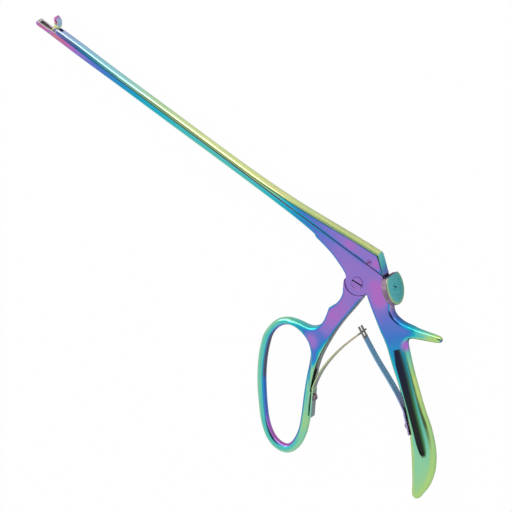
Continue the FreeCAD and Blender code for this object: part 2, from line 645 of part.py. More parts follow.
def leaf_screw(label, spot):
    """A slotted screw with a tapered crown that clamps a leaf's foot."""
    skirt = bar_up(label + "_skirt", "sizes.leaf_screw_head_radius", "sizes.leaf_screw_head_height * 0.5")
    crown = bound("Part::Cone", label + "_crown", {
        "Radius1": "sizes.leaf_screw_head_radius", "Radius2": "sizes.leaf_screw_head_radius * 0.62",
        "Height": "sizes.leaf_screw_head_height * 0.5", "Placement.Base.z": "sizes.leaf_screw_head_height * 0.5"})
    head = joined(label + "_head", skirt, crown)
    below = "(sizes.leaf_screw_grip + sizes.leaf_seat_gap + sizes.leaf_thickness)"
    shank_bar = bar_up(label + "_shank", "sizes.leaf_screw_radius", below + " + 0.2", "-" + below)
    item = slotted(label, joined(label + "_blank", head, shank_bar), "sizes.leaf_screw_head_radius",
                   "sizes.leaf_screw_head_height", "sizes.slot_width * 0.7", "sizes.slot_depth * 0.8")
    return seated(item, spot.beside(0, size("leaf_seat_gap") + size("leaf_thickness") + 0.03), spot.out, 35)


def on_seat(shape, height):
    """Turns a shape built about Z so that Z points out of the slanted seat, at the disc's centre."""
    shape.rotate(ORIGIN, V(0, 1, 0), 90)
    shape.rotate(ORIGIN, ACROSS, 45)
    return shape.translated(disc_centre + seat_out * height)


def lock_disc():
    """The knurled half-moon disc that keeps the slide on, with its flat up."""
    disc = Part.makeCylinder(size("disc_radius"), size("disc_thickness"))
    rims = [e for e in disc.Edges if len(e.Vertexes) == 1]
    disc = disc.makeChamfer(0.35, rims)
    count = 48
    radius = size("disc_radius")
    depth = size("knurl_depth")
    cutter = polygon([V(radius - depth, 0, 0), V(radius + 0.2, -depth - 0.2, 0), V(radius + 0.2, depth + 0.2, 0)])
    cutter = cutter.extrude(V(0, 0, size("disc_thickness")))
    grooves = []
    for i in range(count):
        groove = cutter.copy()
        groove.rotate(ORIGIN, ACROSS, 360.0 * i / count)
        grooves.append(groove)
    flat = block(V(-20, size("disc_flat"), -1), V(20, 20, 10))
    recess = Part.makeCylinder(size("disc_screw_head_radius") + size("pin_gap"), 10,
                               V(0, 0, size("disc_thickness") - size("disc_screw_head_depth")))
    bore = Part.makeCylinder(size("disc_screw_radius") + size("pin_gap"), 10, V(0, 0, -1))
    return on_seat(disc.cut(grooves + [flat, recess, bore]), size("disc_gap"))


# leaf springs, each a clamped foot and a blade that bends as if hinged at the root

def leaf_strip(points, heading):
    """A bent strip of spring steel along a line of points, leaving the first along a heading."""
    curve = Part.BSplineCurve()
    curve.interpolate(Points=points, InitialTangent=heading, FinalTangent=points[-1] - points[-2])
    half = size("leaf_thickness") / 2
    left, right = [], []
    for i in range(13):
        at = curve.FirstParameter + (curve.LastParameter - curve.FirstParameter) * i / 12
        ahead = curve.tangent(at)[0]
        normal = V(-ahead.y, ahead.x, 0) * half
        left.append(curve.value(at) + normal)
        right.append(curve.value(at) - normal)
    return plate([curve_through(left), line(left[-1], right[-1]), curve_through(right[::-1]),
                  line(right[0], left[0])], size("leaf_width"))


def tapered(strip, start, end, narrow):
    """Narrows the strip from its full width at one point to a tip width at another."""
    along = (end - start).normalize()
    length = (end - start).Length
    normal = V(-along.y, along.x, 0)
    wide = size("leaf_width") / 2
    beyond = narrow / 2 - (wide - narrow / 2) * 6 / length
    wedges = []
    for side in (1, -1):
        corners = [start + V(0, 0, side * wide), end + along * 6 + V(0, 0, side * beyond),
                   end + along * 6 + V(0, 0, side * 20), start + V(0, 0, side * 20)]
        wedges.append(polygon([c - normal * 40 for c in corners]).extrude(normal * 80))
    return strip.cut(wedges)


def bar_across(start, heading, length, thickness, width):
    """A flat bar from a point along a heading, centred on the plane of the instrument."""
    normal = V(-heading.y, heading.x, 0) * (thickness / 2)
    end = start + heading * length
    outline = polygon([start + normal, end + normal, end - normal, start - normal])
    return outline.extrude(V(0, 0, width)).translated(V(0, 0, -width / 2))


def leaf_foot(spot, root, length):
    """The straight clamped foot of a leaf, hollowed at its end for the blade's knuckle."""
    heading = (spot.beside(0, LEAF_LIFT) - root).normalize()
    bar = bar_across(root, heading, length, size("leaf_thickness"), size("leaf_width"))
    knuckle_room = cross_cylinder(root, size("leaf_thickness") / 2 + size("pin_gap"), -20, 20)
    hole = Part.makeCylinder(size("leaf_screw_radius") + size("pin_gap"), 8, spot.at - spot.out * 2, spot.out)
    return bar.cut([knuckle_room, hole])


def knuckle(root):
    """The round end of a blade, on which it is taken to bend."""
    half = size("leaf_width") / 2
    return cross_cylinder(root, size("leaf_thickness") / 2 - 0.01, -half, half)


def front_blade():
    """The front leaf's blade, with a narrow tongue and a cross bar that hook in the rear fork."""
    heading = V(0.32, 0.947, 0).normalize()
    shoulder = HOOK - heading * (size("leaf_thickness") / 2 + size("hook_gap"))
    points = [FRONT_ROOT, V(6.2, -56.0, 0), V(7.0, -46.5, 0), V(9.5, -35.5, 0), shoulder]
    strip = leaf_strip(points, FRONT_SCREW.along)
    strip = tapered(strip, points[1], shoulder, size("leaf_tip_width"))
    reach = size("leaf_thickness") + 2 * size("hook_gap")
    tongue = bar_across(shoulder - heading * 0.6, heading, reach + 1.2, size("leaf_thickness") - 0.02,
                        size("tongue_width"))
    bar = bar_across(shoulder + heading * reach, heading, 0.9, size("leaf_thickness"), size("leaf_tip_width"))
    return strip.fuse([knuckle(FRONT_ROOT), tongue, bar]).removeSplitter()


def rear_blade():
    """The rear leaf's blade, which ends in a fork of two prongs."""
    points = [REAR_ROOT, V(46.2, -38.9, 0), V(38.0, -34.7, 0), V(29.0, -30.4, 0), V(20.0, -25.5, 0),
              V(11.6, -20.6, 0)]
    strip = leaf_strip(points, REAR_SCREW.along * -1)
    strip = tapered(strip, points[1], points[-1], size("leaf_tip_width") + 0.8)
    heading = (points[-1] - points[-2]).normalize()
    slot = bar_across(points[-1] - heading * 5.6, heading, 9, 4, size("fork_slot_width"))
    return strip.fuse(knuckle(REAR_ROOT)).cut(slot).removeSplitter()


pieces = {
    "fixed_frame": fixed_frame(),
    "slide_bar": slide_bar(),
    "ring_handle": ring_handle(),
    "upper_jaw": upper_jaw(),
    "lock_disc": lock_disc(),
    "front_leaf_foot": leaf_foot(FRONT_SCREW, FRONT_ROOT, size("front_foot_reach") + 10.5),
    "front_leaf_blade": front_blade(),
    "rear_leaf_foot": leaf_foot(REAR_SCREW, REAR_ROOT, size("rear_foot_reach") + 4.0),
    "rear_leaf_blade": rear_blade(),
}
nodes = [save(label, shape) for label, shape in pieces.items()]
nodes += [
    round_pin("jaw_hinge_pin", hinge, "sizes.hinge_pin_radius"),
    round_pin("jaw_link_pin", link, "sizes.link_pin_radius"),
    main_pivot_screw(),
    drive_screw(),
    lock_disc_screw(),
    leaf_screw("front_leaf_screw", FRONT_SCREW),
    leaf_screw("rear_leaf_screw", REAR_SCREW),
]

doc.recompute()
for item in doc.Objects:
    if "Invalid" in item.State or "Error" in item.State:
        raise RuntimeError(f"{item.Label} is in the state {item.State}")
os.makedirs("parts", exist_ok=True)
for node in nodes:
    shape = node.Shape
    print(node.Label, shape.isValid(), len(shape.Solids), round(shape.Volume, 1))
    if shape.isNull() or not shape.isValid() or not shape.Solids:
        raise RuntimeError(f"{node.Label} has no valid solid")
    shape.exportStep(f"parts/{node.Label}.step")
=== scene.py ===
"""Looks of the rainbow-coated biopsy forceps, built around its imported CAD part."""
import logging
import math
from dataclasses import dataclass
from enum import Enum

import bmesh
import bpy
import numpy as np
from mathutils import Matrix, Vector


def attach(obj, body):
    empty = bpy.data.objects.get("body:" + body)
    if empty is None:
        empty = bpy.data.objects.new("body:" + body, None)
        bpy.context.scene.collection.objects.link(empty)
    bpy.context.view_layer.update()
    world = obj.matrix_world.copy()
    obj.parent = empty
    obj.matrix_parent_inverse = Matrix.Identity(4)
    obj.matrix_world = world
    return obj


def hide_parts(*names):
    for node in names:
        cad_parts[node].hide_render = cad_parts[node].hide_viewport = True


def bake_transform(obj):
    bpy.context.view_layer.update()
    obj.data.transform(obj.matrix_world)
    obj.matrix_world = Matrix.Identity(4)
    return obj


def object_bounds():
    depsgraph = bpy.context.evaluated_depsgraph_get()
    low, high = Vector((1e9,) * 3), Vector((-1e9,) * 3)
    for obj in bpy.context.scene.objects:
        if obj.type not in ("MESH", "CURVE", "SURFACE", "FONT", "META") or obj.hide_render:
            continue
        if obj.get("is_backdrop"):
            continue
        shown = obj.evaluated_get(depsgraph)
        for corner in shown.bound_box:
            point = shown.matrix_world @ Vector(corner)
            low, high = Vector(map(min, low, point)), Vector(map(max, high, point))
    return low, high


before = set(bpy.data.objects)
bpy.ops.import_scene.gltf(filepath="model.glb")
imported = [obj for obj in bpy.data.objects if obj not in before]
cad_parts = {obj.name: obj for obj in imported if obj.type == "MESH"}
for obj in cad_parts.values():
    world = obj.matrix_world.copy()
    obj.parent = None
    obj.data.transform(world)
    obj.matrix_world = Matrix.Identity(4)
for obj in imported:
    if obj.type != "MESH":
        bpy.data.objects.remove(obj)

CAD_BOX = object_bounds()
LOG = logging.getLogger("forceps")
Pair = tuple[float, float]
Triple = tuple[float, float, float]
Colour = tuple[float, float, float, float]
Stations = tuple[Pair, ...]
Socket = bpy.types.NodeSocket

# lengths in this file are millimetres unless its words say otherwise, and MM turns them into metres
MM = 0.001
# the height of the plane that halves the instrument
MIDDLE = 3.5
X_AXIS = (1.0, 0.0, 0.0)
Y_AXIS = (0.0, 1.0, 0.0)
Z_AXIS = (0.0, 0.0, 1.0)
LOOPWARD = (0.0, -1.0, 0.0)
# square to the slanted seat of the disc, and down the palm grip
REARWARD = (1.0, 1.0, 0.0)
GRIP_AXIS = (0.75, -0.66, 0.0)
# the mesh attribute that says how near a point is to a turned edge
RIM = "rim"
# points of a mesh that lie closer than this, in metres, are one point
DOUBLED = 2e-6
# the share of a leaf's thickness that its eased edges take
EASED = 0.3

# the thickness of the oxide film runs from 0 to 1 through these colours (8-bit sRGB)
FILM_ORDER: tuple[tuple[float, Triple], ...] = (
    (0.00, (176, 140, 90)), (0.07, (208, 146, 118)), (0.14, (202, 110, 156)), (0.21, (184, 108, 198)),
    (0.28, (150, 120, 206)), (0.36, (110, 118, 208)), (0.44, (60, 124, 206)), (0.52, (18, 156, 202)),
    (0.60, (34, 186, 204)), (0.68, (88, 200, 190)), (0.76, (136, 210, 172)), (0.84, (172, 214, 130)),
    (0.92, (222, 232, 140)), (1.00, (240, 208, 150)),
)


def linear(colour: Triple) -> Colour:
    """Turns an 8-bit sRGB colour into the linear colour that shaders take.

    Args:
        colour: red, green and blue from 0 to 255.

    Returns:
        Linear red, green, blue and an alpha of 1.
    """
    channels = []
    for value in colour:
        share = value / 255.0
        channels.append(share / 12.92 if share <= 0.04045 else ((share + 0.055) / 1.055) ** 2.4)
    return (channels[0], channels[1], channels[2], 1.0)


class Nodes:
    """Short calls that fill one node tree. A value is a socket or a plain number, vector or colour."""

    def __init__(self, tree: bpy.types.NodeTree) -> None:
        """Starts from an empty tree."""
        self.tree = tree
        self.tree.nodes.clear()

    def add(self, kind: str, **settings: object) -> bpy.types.Node:
        """Adds a node.

        Args:
            kind: Blender's name of the node.
            **settings: the node's properties.

        Returns:
            The new node.
        """
        node = self.tree.nodes.new(kind)
        for key, value in settings.items():
            setattr(node, key, value)
        return node

    def link(self, source: Socket, target: Socket) -> None:
        """Joins an output to an input."""
        self.tree.links.new(source, target)

    def feed(self, target: Socket, value: object) -> None:
        """Gives an input its value.

        Args:
            target: the input.
            value: a socket to link, or a plain value to set.
        """
        if isinstance(value, bpy.types.NodeSocket):
            self.link(value, target)
        else:
            target.default_value = value

    def math(self, operation: str, first: object, second: object = 0.0, clamp: bool = False) -> Socket:
        """Combines two numbers.

        Args:
            operation: Blender's name of the operation.
            first: the first value.
            second: the second value.
            clamp: whether the result stays within 0 and 1.

        Returns:
            The result.
        """
        node = self.add("ShaderNodeMath", operation=operation, use_clamp=clamp)
        self.feed(node.inputs[0], first)
        self.feed(node.inputs[1], second)
        return node.outputs[0]

    def product(self, first: object, *others: object) -> Socket:
        """Multiplies numbers.

        Args:
            first: the first value.
            *others: the values that it is multiplied by.

        Returns:
            The product.
        """
        for other in others:
            first = self.math("MULTIPLY", first, other)
        return first

    def vector(self, operation: str, first: object, second: object = (0.0, 0.0, 0.0)) -> Socket:
        """Combines two vectors.

        Args:
            operation: Blender's name of the operation.
            first: the first vector.
            second: the second vector.

        Returns:
            A vector, or a number for a dot product, a distance or a length.
        """
        node = self.add("ShaderNodeVectorMath", operation=operation)
        self.feed(node.inputs[0], first)
        self.feed(node.inputs[1], second)
        return node.outputs["Value" if operation in ("DOT_PRODUCT", "DISTANCE", "LENGTH") else "Vector"]

    def scaled(self, vector: object, share: object) -> Socket:
        """Multiplies a vector by a number.

        Args:
            vector: the vector.
            share: the number.

        Returns:
            The scaled vector.
        """
        node = self.add("ShaderNodeVectorMath", operation="SCALE")
        self.feed(node.inputs[0], vector)
        self.feed(node.inputs["Scale"], share)
        return node.outputs["Vector"]

    def ramp(self, share: Socket, stops: tuple[tuple[float, Triple], ...], raw: bool = False) -> Socket:
        """Runs through colours.

        Args:
            share: the place along the ramp, from 0 to 1.
            stops: pairs of a place and a colour.
            raw: whether the colours are linear values from 0 to 1 already.

        Returns:
            The colour.
        """
        node = self.add("ShaderNodeValToRGB")
        elements = node.color_ramp.elements
        elements.remove(elements[-1])
        for index, (position, colour) in enumerate(stops):
            element = elements[0] if index == 0 else elements.new(position)
            element.position = position
            element.color = (*colour, 1.0) if raw else linear(colour)
        self.feed(node.inputs["Fac"], share)
        return node.outputs["Color"]

    def for_camera(self, other: Socket, seen: Socket, share: float = 1.0) -> Socket:
        """Shows the camera another shader than all other rays meet.

        Args:
            other: the shader for the other rays.
            seen: the shader for the camera's rays.
            share: how much of it the camera sees.

        Returns:
            The mixed shader.
        """
        rays = self.add("ShaderNodeLightPath")
        mix = self.add("ShaderNodeMixShader")
        self.feed(mix.inputs["Fac"], self.math("MULTIPLY", rays.outputs["Is Camera Ray"], share))
        self.link(other, mix.inputs[1])
        self.link(seen, mix.inputs[2])
        return mix.outputs[0]


class Graph(Nodes):
    """The nodes of one metal finish, laid out over the part's own coordinates."""

    def __init__(self, name: str) -> None:
        """Makes the material with its shader and its output.

        Args:
            name: the material's name.
        """
        self.material = bpy.data.materials.new(name)
        self.material.use_nodes = True
        super().__init__(self.material.node_tree)
        self.shader = self.add("ShaderNodeBsdfPrincipled")
        output = self.add("ShaderNodeOutputMaterial")
        self.link(self.shader.outputs["BSDF"], output.inputs["Surface"])
        coords = self.add("ShaderNodeTexCoord")
        self.place = coords.outputs["Object"]
        self.normal = coords.outputs["Normal"]

    def along(self, axis: Triple) -> Socket:
        """Millimetres along an axis through the origin."""
        return self.math("MULTIPLY", self.vector("DOT_PRODUCT", self.place, axis), 1.0 / MM)

    def facing(self, axis: Triple) -> Socket:
        """How far the surface faces an axis, from -1 to 1."""
        return self.vector("DOT_PRODUCT", self.normal, tuple(Vector(axis).normalized()))

    def spread(self, source: Socket, low: float, high: float, start: float = 0.0, end: float = 1.0) -> Socket:
        """Eases from start to end while the source runs from low to high.

        Args:
            source: the number that is read.
            low: where the change starts, which may lie above high.
            high: where it ends.
            start: the result at low.
            end: the result at high.

        Returns:
            The eased number.
        """
        if low > high:
            low, high, start, end = high, low, end, start
        node = self.add("ShaderNodeMapRange", interpolation_type="SMOOTHSTEP")
        self.feed(node.inputs["Value"], source)
        for key, value in (("From Min", low), ("From Max", high), ("To Min", start), ("To Max", end)):
            node.inputs[key].default_value = value
        return node.outputs["Result"]

    def window(self, source: Socket, rise: Pair, fall: Pair) -> Socket:
        """1 between an eased rise and an eased fall of the source, 0 outside."""
        return self.product(self.spread(source, *rise), self.spread(source, *fall))

    def ball(self, centre: Triple, radius: float, core: float, amount: float) -> Socket:
        """The amount in a round core (a share of the radius), which eases to 0 at the radius."""
        away = self.vector("DISTANCE", self.place, tuple(c * MM for c in centre))
        return self.spread(away, radius * core * MM, radius * MM, amount, 0.0)

    def profile(self, distance: Socket, stations: Stations) -> Socket:
        """Follows stations along a distance.

        Args:
            distance: the millimetres that are read.
            stations: pairs of millimetres and a value from 0 to 1.

        Returns:
            The value.
        """
        low, high = stations[0][0], stations[-1][0]
        share = self.math("DIVIDE", self.math("SUBTRACT", distance, low), high - low, clamp=True)
        stops = tuple(((at - low) / (high - low), (value, value, value)) for at, value in stations)
        node = self.add("ShaderNodeSeparateColor")
        self.link(self.ramp(share, stops, raw=True), node.inputs["Color"])
        return node.outputs["Red"]

    def mixed(self, share: object, first: object, second: object) -> Socket:
        """Mixes two numbers.

        Args:
            share: how much of the second is taken.
            first: the number at a share of 0.
            second: the number at a share of 1.

        Returns:
            The mixed number.
        """
        node = self.add("ShaderNodeMix", data_type="FLOAT")
        for key, value in (("Factor", share), ("A", first), ("B", second)):
            self.feed(node.inputs[key], value)
        return node.outputs["Result"]

    def tinted(self, share: object, first: object, second: object) -> Socket:
        """Mixes two colours.

        Args:
            share: how much of the second is taken.
            first: the colour at a share of 0.
            second: the colour at a share of 1.

        Returns:
            The mixed colour.
        """
        node = self.add("ShaderNodeMix", data_type="RGBA")
        self.feed(node.inputs["Factor"], share)
        self.feed(node.inputs[6], first)
        self.feed(node.inputs[7], second)
        return node.outputs[2]

    def noise(self, scale: float, detail: float = 2.0, stretch: Triple = (1.0, 1.0, 1.0)) -> Socket:
        """Noise from 0 to 1.

        Args:
            scale: grains in a metre.
            detail: how many finer layers it has.
            stretch: how much of the scale each axis takes.

        Returns:
            The noise.
        """
        node = self.add("ShaderNodeTexNoise")
        node.inputs["Scale"].default_value = scale
        node.inputs["Detail"].default_value = detail
        self.link(self.vector("MULTIPLY", self.place, stretch), node.inputs["Vector"])
        return node.outputs["Fac"]

    def bump(self, height: Socket, strength: float, depth: float) -> None:
        """Puts a fine relief on the shader.

        Args:
            height: the relief, from 0 to 1.
            strength: how much of it is used.
            depth: its depth.
        """
        node = self.add("ShaderNodeBump")
        node.inputs["Strength"].default_value = strength
        node.inputs["Distance"].default_value = depth * MM
        self.link(height, node.inputs["Height"])
        self.link(node.outputs["Normal"], self.shader.inputs["Normal"])

    def metal(self, colour: Socket, roughness: object, coat: Pair = (0.0, 0.03)) -> bpy.types.Material:
        """Makes the shader a metal.

        Args:
            colour: the metal's colour.
            roughness: its roughness.
            coat: weight and roughness of the clear coat.

        Returns:
            The finished material.
        """
        self.link(colour, self.shader.inputs["Base Color"])
        self.feed(self.shader.inputs["Roughness"], roughness)
        plain = (("Metallic", 1.0), ("Coat Weight", coat[0]), ("Coat Roughness", coat[1]))
        for key, value in plain:
            self.shader.inputs[key].default_value = value
        return self.material


@dataclass(frozen=True)
class Run:
    """A number that follows stations along an axis."""

    axis: Triple
    stations: Stations

    def read(self, graph: Graph) -> Socket:
        """The number at each point."""
        return graph.profile(graph.along(self.axis), self.stations)


@dataclass(frozen=True)
class Patch:
    """A soft round area in which the film has another thickness."""

    centre: Triple
    radius: float
    film: float
    amount: float
    core: float = 0.25

    def lay(self, graph: Graph, film: Socket) -> Socket:
        """The film with the patch in it."""
        return graph.mixed(graph.ball(self.centre, self.radius, self.core, self.amount), film, self.film)


class Layer:
    """A colour that is laid over part of a coat."""

    colour: Triple

    def share(self, graph: Graph) -> object:
        """How much of the layer each point takes."""
        raise NotImplementedError

    def paint(self, graph: Graph) -> object:
        """The layer's colour."""
        return linear(self.colour)

    def tint(self, graph: Graph, colour: Socket) -> Socket:
        """The coat's colour with the layer on it."""
        return graph.tinted(self.share(graph), colour, self.paint(graph))


@dataclass(frozen=True)
class Shade(Layer):
    """A soft round area of another colour."""

    centre: Triple
    radius: float
    colour: Triple
    amount: float
    core: float = 0.3

    def share(self, graph: Graph) -> Socket:
        """How much of the layer each point takes."""
        return graph.ball(self.centre, self.radius, self.core, self.amount)


@dataclass(frozen=True)
class Pale(Layer):
    """A pale colour mixed evenly over the whole coat, or, where it has a run, a painted highlight over its
    top.
    """

    amount: float = 1.0
    colour: Triple = (236, 242, 240)
    painted_highlight_run: Run | None = None
    turned: Pair = (0.2, 0.6)

    def share(self, graph: Graph) -> object:
        """How much of the layer each point takes.

        Args:
            graph: the coat's nodes.

        Returns:
            The share.
        """
        if not self.painted_highlight_run:
            return self.amount
        # painted highlight: faces turned up to the crown take the pale colour along the run
        return graph.product(self.painted_highlight_run.read(graph), graph.spread(graph.facing(Y_AXIS), *self.turned))


@dataclass(frozen=True)
class CrownDarkReflection(Layer):
    """A painted dark reflection: the dark green line along both edges of the slide's crown."""

    colour: Triple = (40, 84, 66)
    amount: float = 0.78
    handover: Pair = (-80.0, -25.0)
    tilts: Pair = (0.80, 0.34)
    band: Pair = (-0.08, 0.2)
    outer: Pair = (0.12, 0.3)

    def share(self, graph: Graph) -> Socket:
        """How much of the layer each point takes, told by the tilt of the crown's rounded edge.

        Args:
            graph: the coat's nodes.

        Returns:
            The share.
        """
        tilt = graph.math("ABSOLUTE", graph.facing(Z_AXIS))
        start = graph.mixed(graph.spread(graph.along(X_AXIS), *self.handover), *self.tilts)
        line = graph.spread(graph.math("SUBTRACT", tilt, start), *self.band)
        outside = graph.math("MAXIMUM", graph.facing(Y_AXIS), graph.facing(REARWARD))
        return graph.product(line, graph.spread(outside, *self.outer), self.amount)


@dataclass(frozen=True)
class SeamShade(Layer):
    """The painted shade in the gap where the slide meets the fixed shaft: a dark line."""

    level: float = 11.7
    edge: Pair = (0.42, 0.14)
    start: Pair = (-198.0, -194.0)
    sideways: Pair = (0.1, 0.4)
    amount: float = 0.85
    roughness: float = 0.5
    shaft_seam_shade: Triple = (40, 92, 120)
    plate_seam_shade: Triple = (64, 36, 98)
    handover: Pair = (-110.0, -45.0)

    def line(self, graph: Graph) -> Socket:
        """Where the line is.

        Args:
            graph: the coat's nodes.

        Returns:
            A number from 0 to 1.
        """
        off = graph.math("ABSOLUTE", graph.math("SUBTRACT", graph.along(Y_AXIS), self.level))
        side = graph.spread(graph.math("ABSOLUTE", graph.facing(Z_AXIS)), *self.sideways)
        ahead = graph.spread(graph.along(X_AXIS), *self.start)
        return graph.product(graph.spread(off, *self.edge), ahead, side)

    def share(self, graph: Graph) -> Socket:
        """How much of the layer each point takes."""
        return graph.product(self.line(graph), self.amount)

    def paint(self, graph: Graph) -> Socket:
        """The painted shade's colour, from the shaft to the plate."""
        where = graph.spread(graph.along(X_AXIS), *self.handover)
        return graph.tinted(where, linear(self.shaft_seam_shade), linear(self.plate_seam_shade))


@dataclass(frozen=True)
class Wall(Layer):
    """A wall that faces one way and takes another colour between two depths along an axis."""

    facing: Triple
    colour: Triple
    amount: float
    axis: Triple
    low: float
    high: float
    soft: float = 4.0
    turned: Pair = (0.45, 0.75)

    def share(self, graph: Graph) -> Socket:
        """How much of the layer each point takes.

        Args:
            graph: the coat's nodes.

        Returns:
            The share.
        """
        inside = graph.window(graph.along(self.axis), (self.low, self.low + self.soft),
                              (self.high + self.soft, self.high))
        return graph.product(graph.spread(graph.facing(self.facing), *self.turned, 0.0, self.amount), inside)


@dataclass(frozen=True)
class Hollow(Layer):
    """The long hollow in both sides of the palm grip, with a painted dark reflection in it that turns green
    towards its back edge.

    Stations run down the grip: millimetres along it, the middle of the hollow across it, its half width.
    """

    stations: tuple[Triple, ...] = (
        (37.4, 10.1, 1.9), (45.0, 9.45, 2.9), (54.0, 8.95, 2.95), (63.0, 8.15, 2.9), (72.0, 7.55, 2.75),
        (81.0, 7.1, 2.7), (87.0, 6.6, 2.6), (91.0, 6.4, 2.1), (93.4, 6.4, 1.3))
    depth: float = 0.9
    steepness: int = 4
    bare_core: float = 1.4
    middle_scale: float = 20.0
    half_scale: float = 5.0
    near_edge: Pair = (-1.0, -0.88)
    far_edge: Pair = (1.45, 0.6)
    top_edge: Pair = (-0.1, 0.5)
    low_edge: Pair = (1.5, -0.5)
    flat: Pair = (0.2, 0.5)
    # where across the hollow the painted reflection turns from dark to green
    glow: Pair = (0.1, 0.8)
    reflection_dark_handover: Pair = (40.0, 80.0)
    reflection_green_handover: Pair = (40.0, 70.0)
    reflection_dark_top: Triple = (26, 30, 56)
    reflection_dark_low: Triple = (30, 36, 34)
    reflection_green_top: Triple = (40, 100, 108)
    reflection_green_low: Triple = (64, 120, 66)

    @property
    def along(self) -> Triple:
        """The unit axis down the grip."""
        return tuple(Vector(GRIP_AXIS).normalized())

    @property
    def across(self) -> Triple:
        """The unit axis across the grip."""
        x, y, _ = self.along
        return (-y, x, 0.0)

    def press(self, points: np.ndarray) -> np.ndarray:
        """Presses the hollow into both sides of a mesh.

        Args:
            points: vertex positions in metres.

        Returns:
            The new positions.
        """
        down = points @ np.array(self.along) / MM
        side = points @ np.array(self.across) / MM
        table = np.array(self.stations)
        middle = np.interp(down, table[:, 0], table[:, 1])
        half = np.interp(down, table[:, 0], table[:, 2])
        share = np.clip(1.0 - np.abs((side - middle) / half) ** self.steepness, 0.0, 1.0)
        share = share * (down > table[0, 0]) * (down < table[-1, 0])
        level = points[:, 2] / MM - MIDDLE
        share = share * np.clip(np.abs(level) - self.bare_core, 0.0, 1.0)
        pressed = points.copy()
        pressed[:, 2] -= np.sign(level) * share * self.depth * MM
        return pressed

    def across_share(self, graph: Graph) -> Socket:
        """Where a point lies across the hollow.

        Args:
            graph: the coat's nodes.

        Returns:
            -1 and 1 at the hollow's edges.
        """
        down, side = graph.along(self.along), graph.along(self.across)
        middle = graph.profile(down, tuple((at, mid / self.middle_scale) for at, mid, _ in self.stations))
        half = graph.profile(down, tuple((at, wide / self.half_scale) for at, _, wide in self.stations))
        offset = graph.math("SUBTRACT", side, graph.product(middle, self.middle_scale))
        return graph.math("DIVIDE", offset, graph.product(half, self.half_scale))

    def share(self, graph: Graph) -> Socket:
        """How much of the layer each point takes, softer towards the back of the grip.

        Args:
            graph: the coat's nodes.

        Returns:
            The share.
        """
        rise = tuple(self.stations[0][0] + step for step in self.top_edge)
        fall = tuple(self.stations[-1][0] + step for step in self.low_edge)
        sides = graph.window(self.across_share(graph), self.near_edge, self.far_edge)
        flat = graph.spread(graph.math("ABSOLUTE", graph.facing(Z_AXIS)), *self.flat)
        return graph.product(sides, graph.window(graph.along(self.along), rise, fall), flat)

    def paint(self, graph: Graph) -> Socket:
        """The painted reflection's colour: dark, and green towards its back edge.

        Args:
            graph: the coat's nodes.

        Returns:
            The colour.
        """
        down = graph.along(self.along)
        dark = graph.tinted(graph.spread(down, *self.reflection_dark_handover), linear(self.reflection_dark_top),
                            linear(self.reflection_dark_low))
        green = graph.tinted(graph.spread(down, *self.reflection_green_handover), linear(self.reflection_green_top),
                             linear(self.reflection_green_low))
        return graph.tinted(graph.spread(self.across_share(graph), *self.glow), dark, green)


@dataclass(frozen=True)
class SteelAndShadeBox(Layer):
    """A box inside which the surface takes two mixed colours: bare steel in the jaw's cup and at the leaves'
    hook and fork, steel with painted shade inside the basket and a painted highlight on its lip, and painted
    shade in the disc's seat.
    """

    low: Triple
    high: Triple
    facing: Triple | None = None
    bright: Triple = (150, 142, 140)
    dark: Triple = (104, 96, 92)
    turned: Pair = (0.2, 0.5)
    grain: Pair = (700.0, 4.0)

    def share(self, graph: Graph) -> Socket:
        """How much of the layer each point takes.

        Args:
            graph: the coat's nodes.

        Returns:
            The share.
        """
        limits = []
        for axis, low, high in zip((X_AXIS, Y_AXIS, Z_AXIS), self.low, self.high):
            depth = graph.along(axis)
            limits += [graph.math("GREATER_THAN", depth, low), graph.math("LESS_THAN", depth, high)]
        if self.facing:
            limits.append(graph.spread(graph.facing(self.facing), *self.turned))
        return graph.product(*limits)

    def paint(self, graph: Graph) -> Socket:
        """The layer's colour, mixed in spots: wear on the steel, and uneven painted shade in the seat."""
        return graph.tinted(graph.noise(*self.grain), linear(self.bright), linear(self.dark))


@dataclass(frozen=True)
class SlotShadow(Layer):
    """The dark floor of a screw's slot: whatever lies below the head's flat top."""

    axis: Triple
    top: float
    below: Pair = (0.12, 0.3)
    colour: Triple = (34, 26, 52)

    def share(self, graph: Graph) -> Socket:
        """How much of the layer each point takes."""
        depth = graph.along(tuple(Vector(self.axis).normalized()))
        return graph.spread(depth, self.top - self.below[0], self.top - self.below[1])


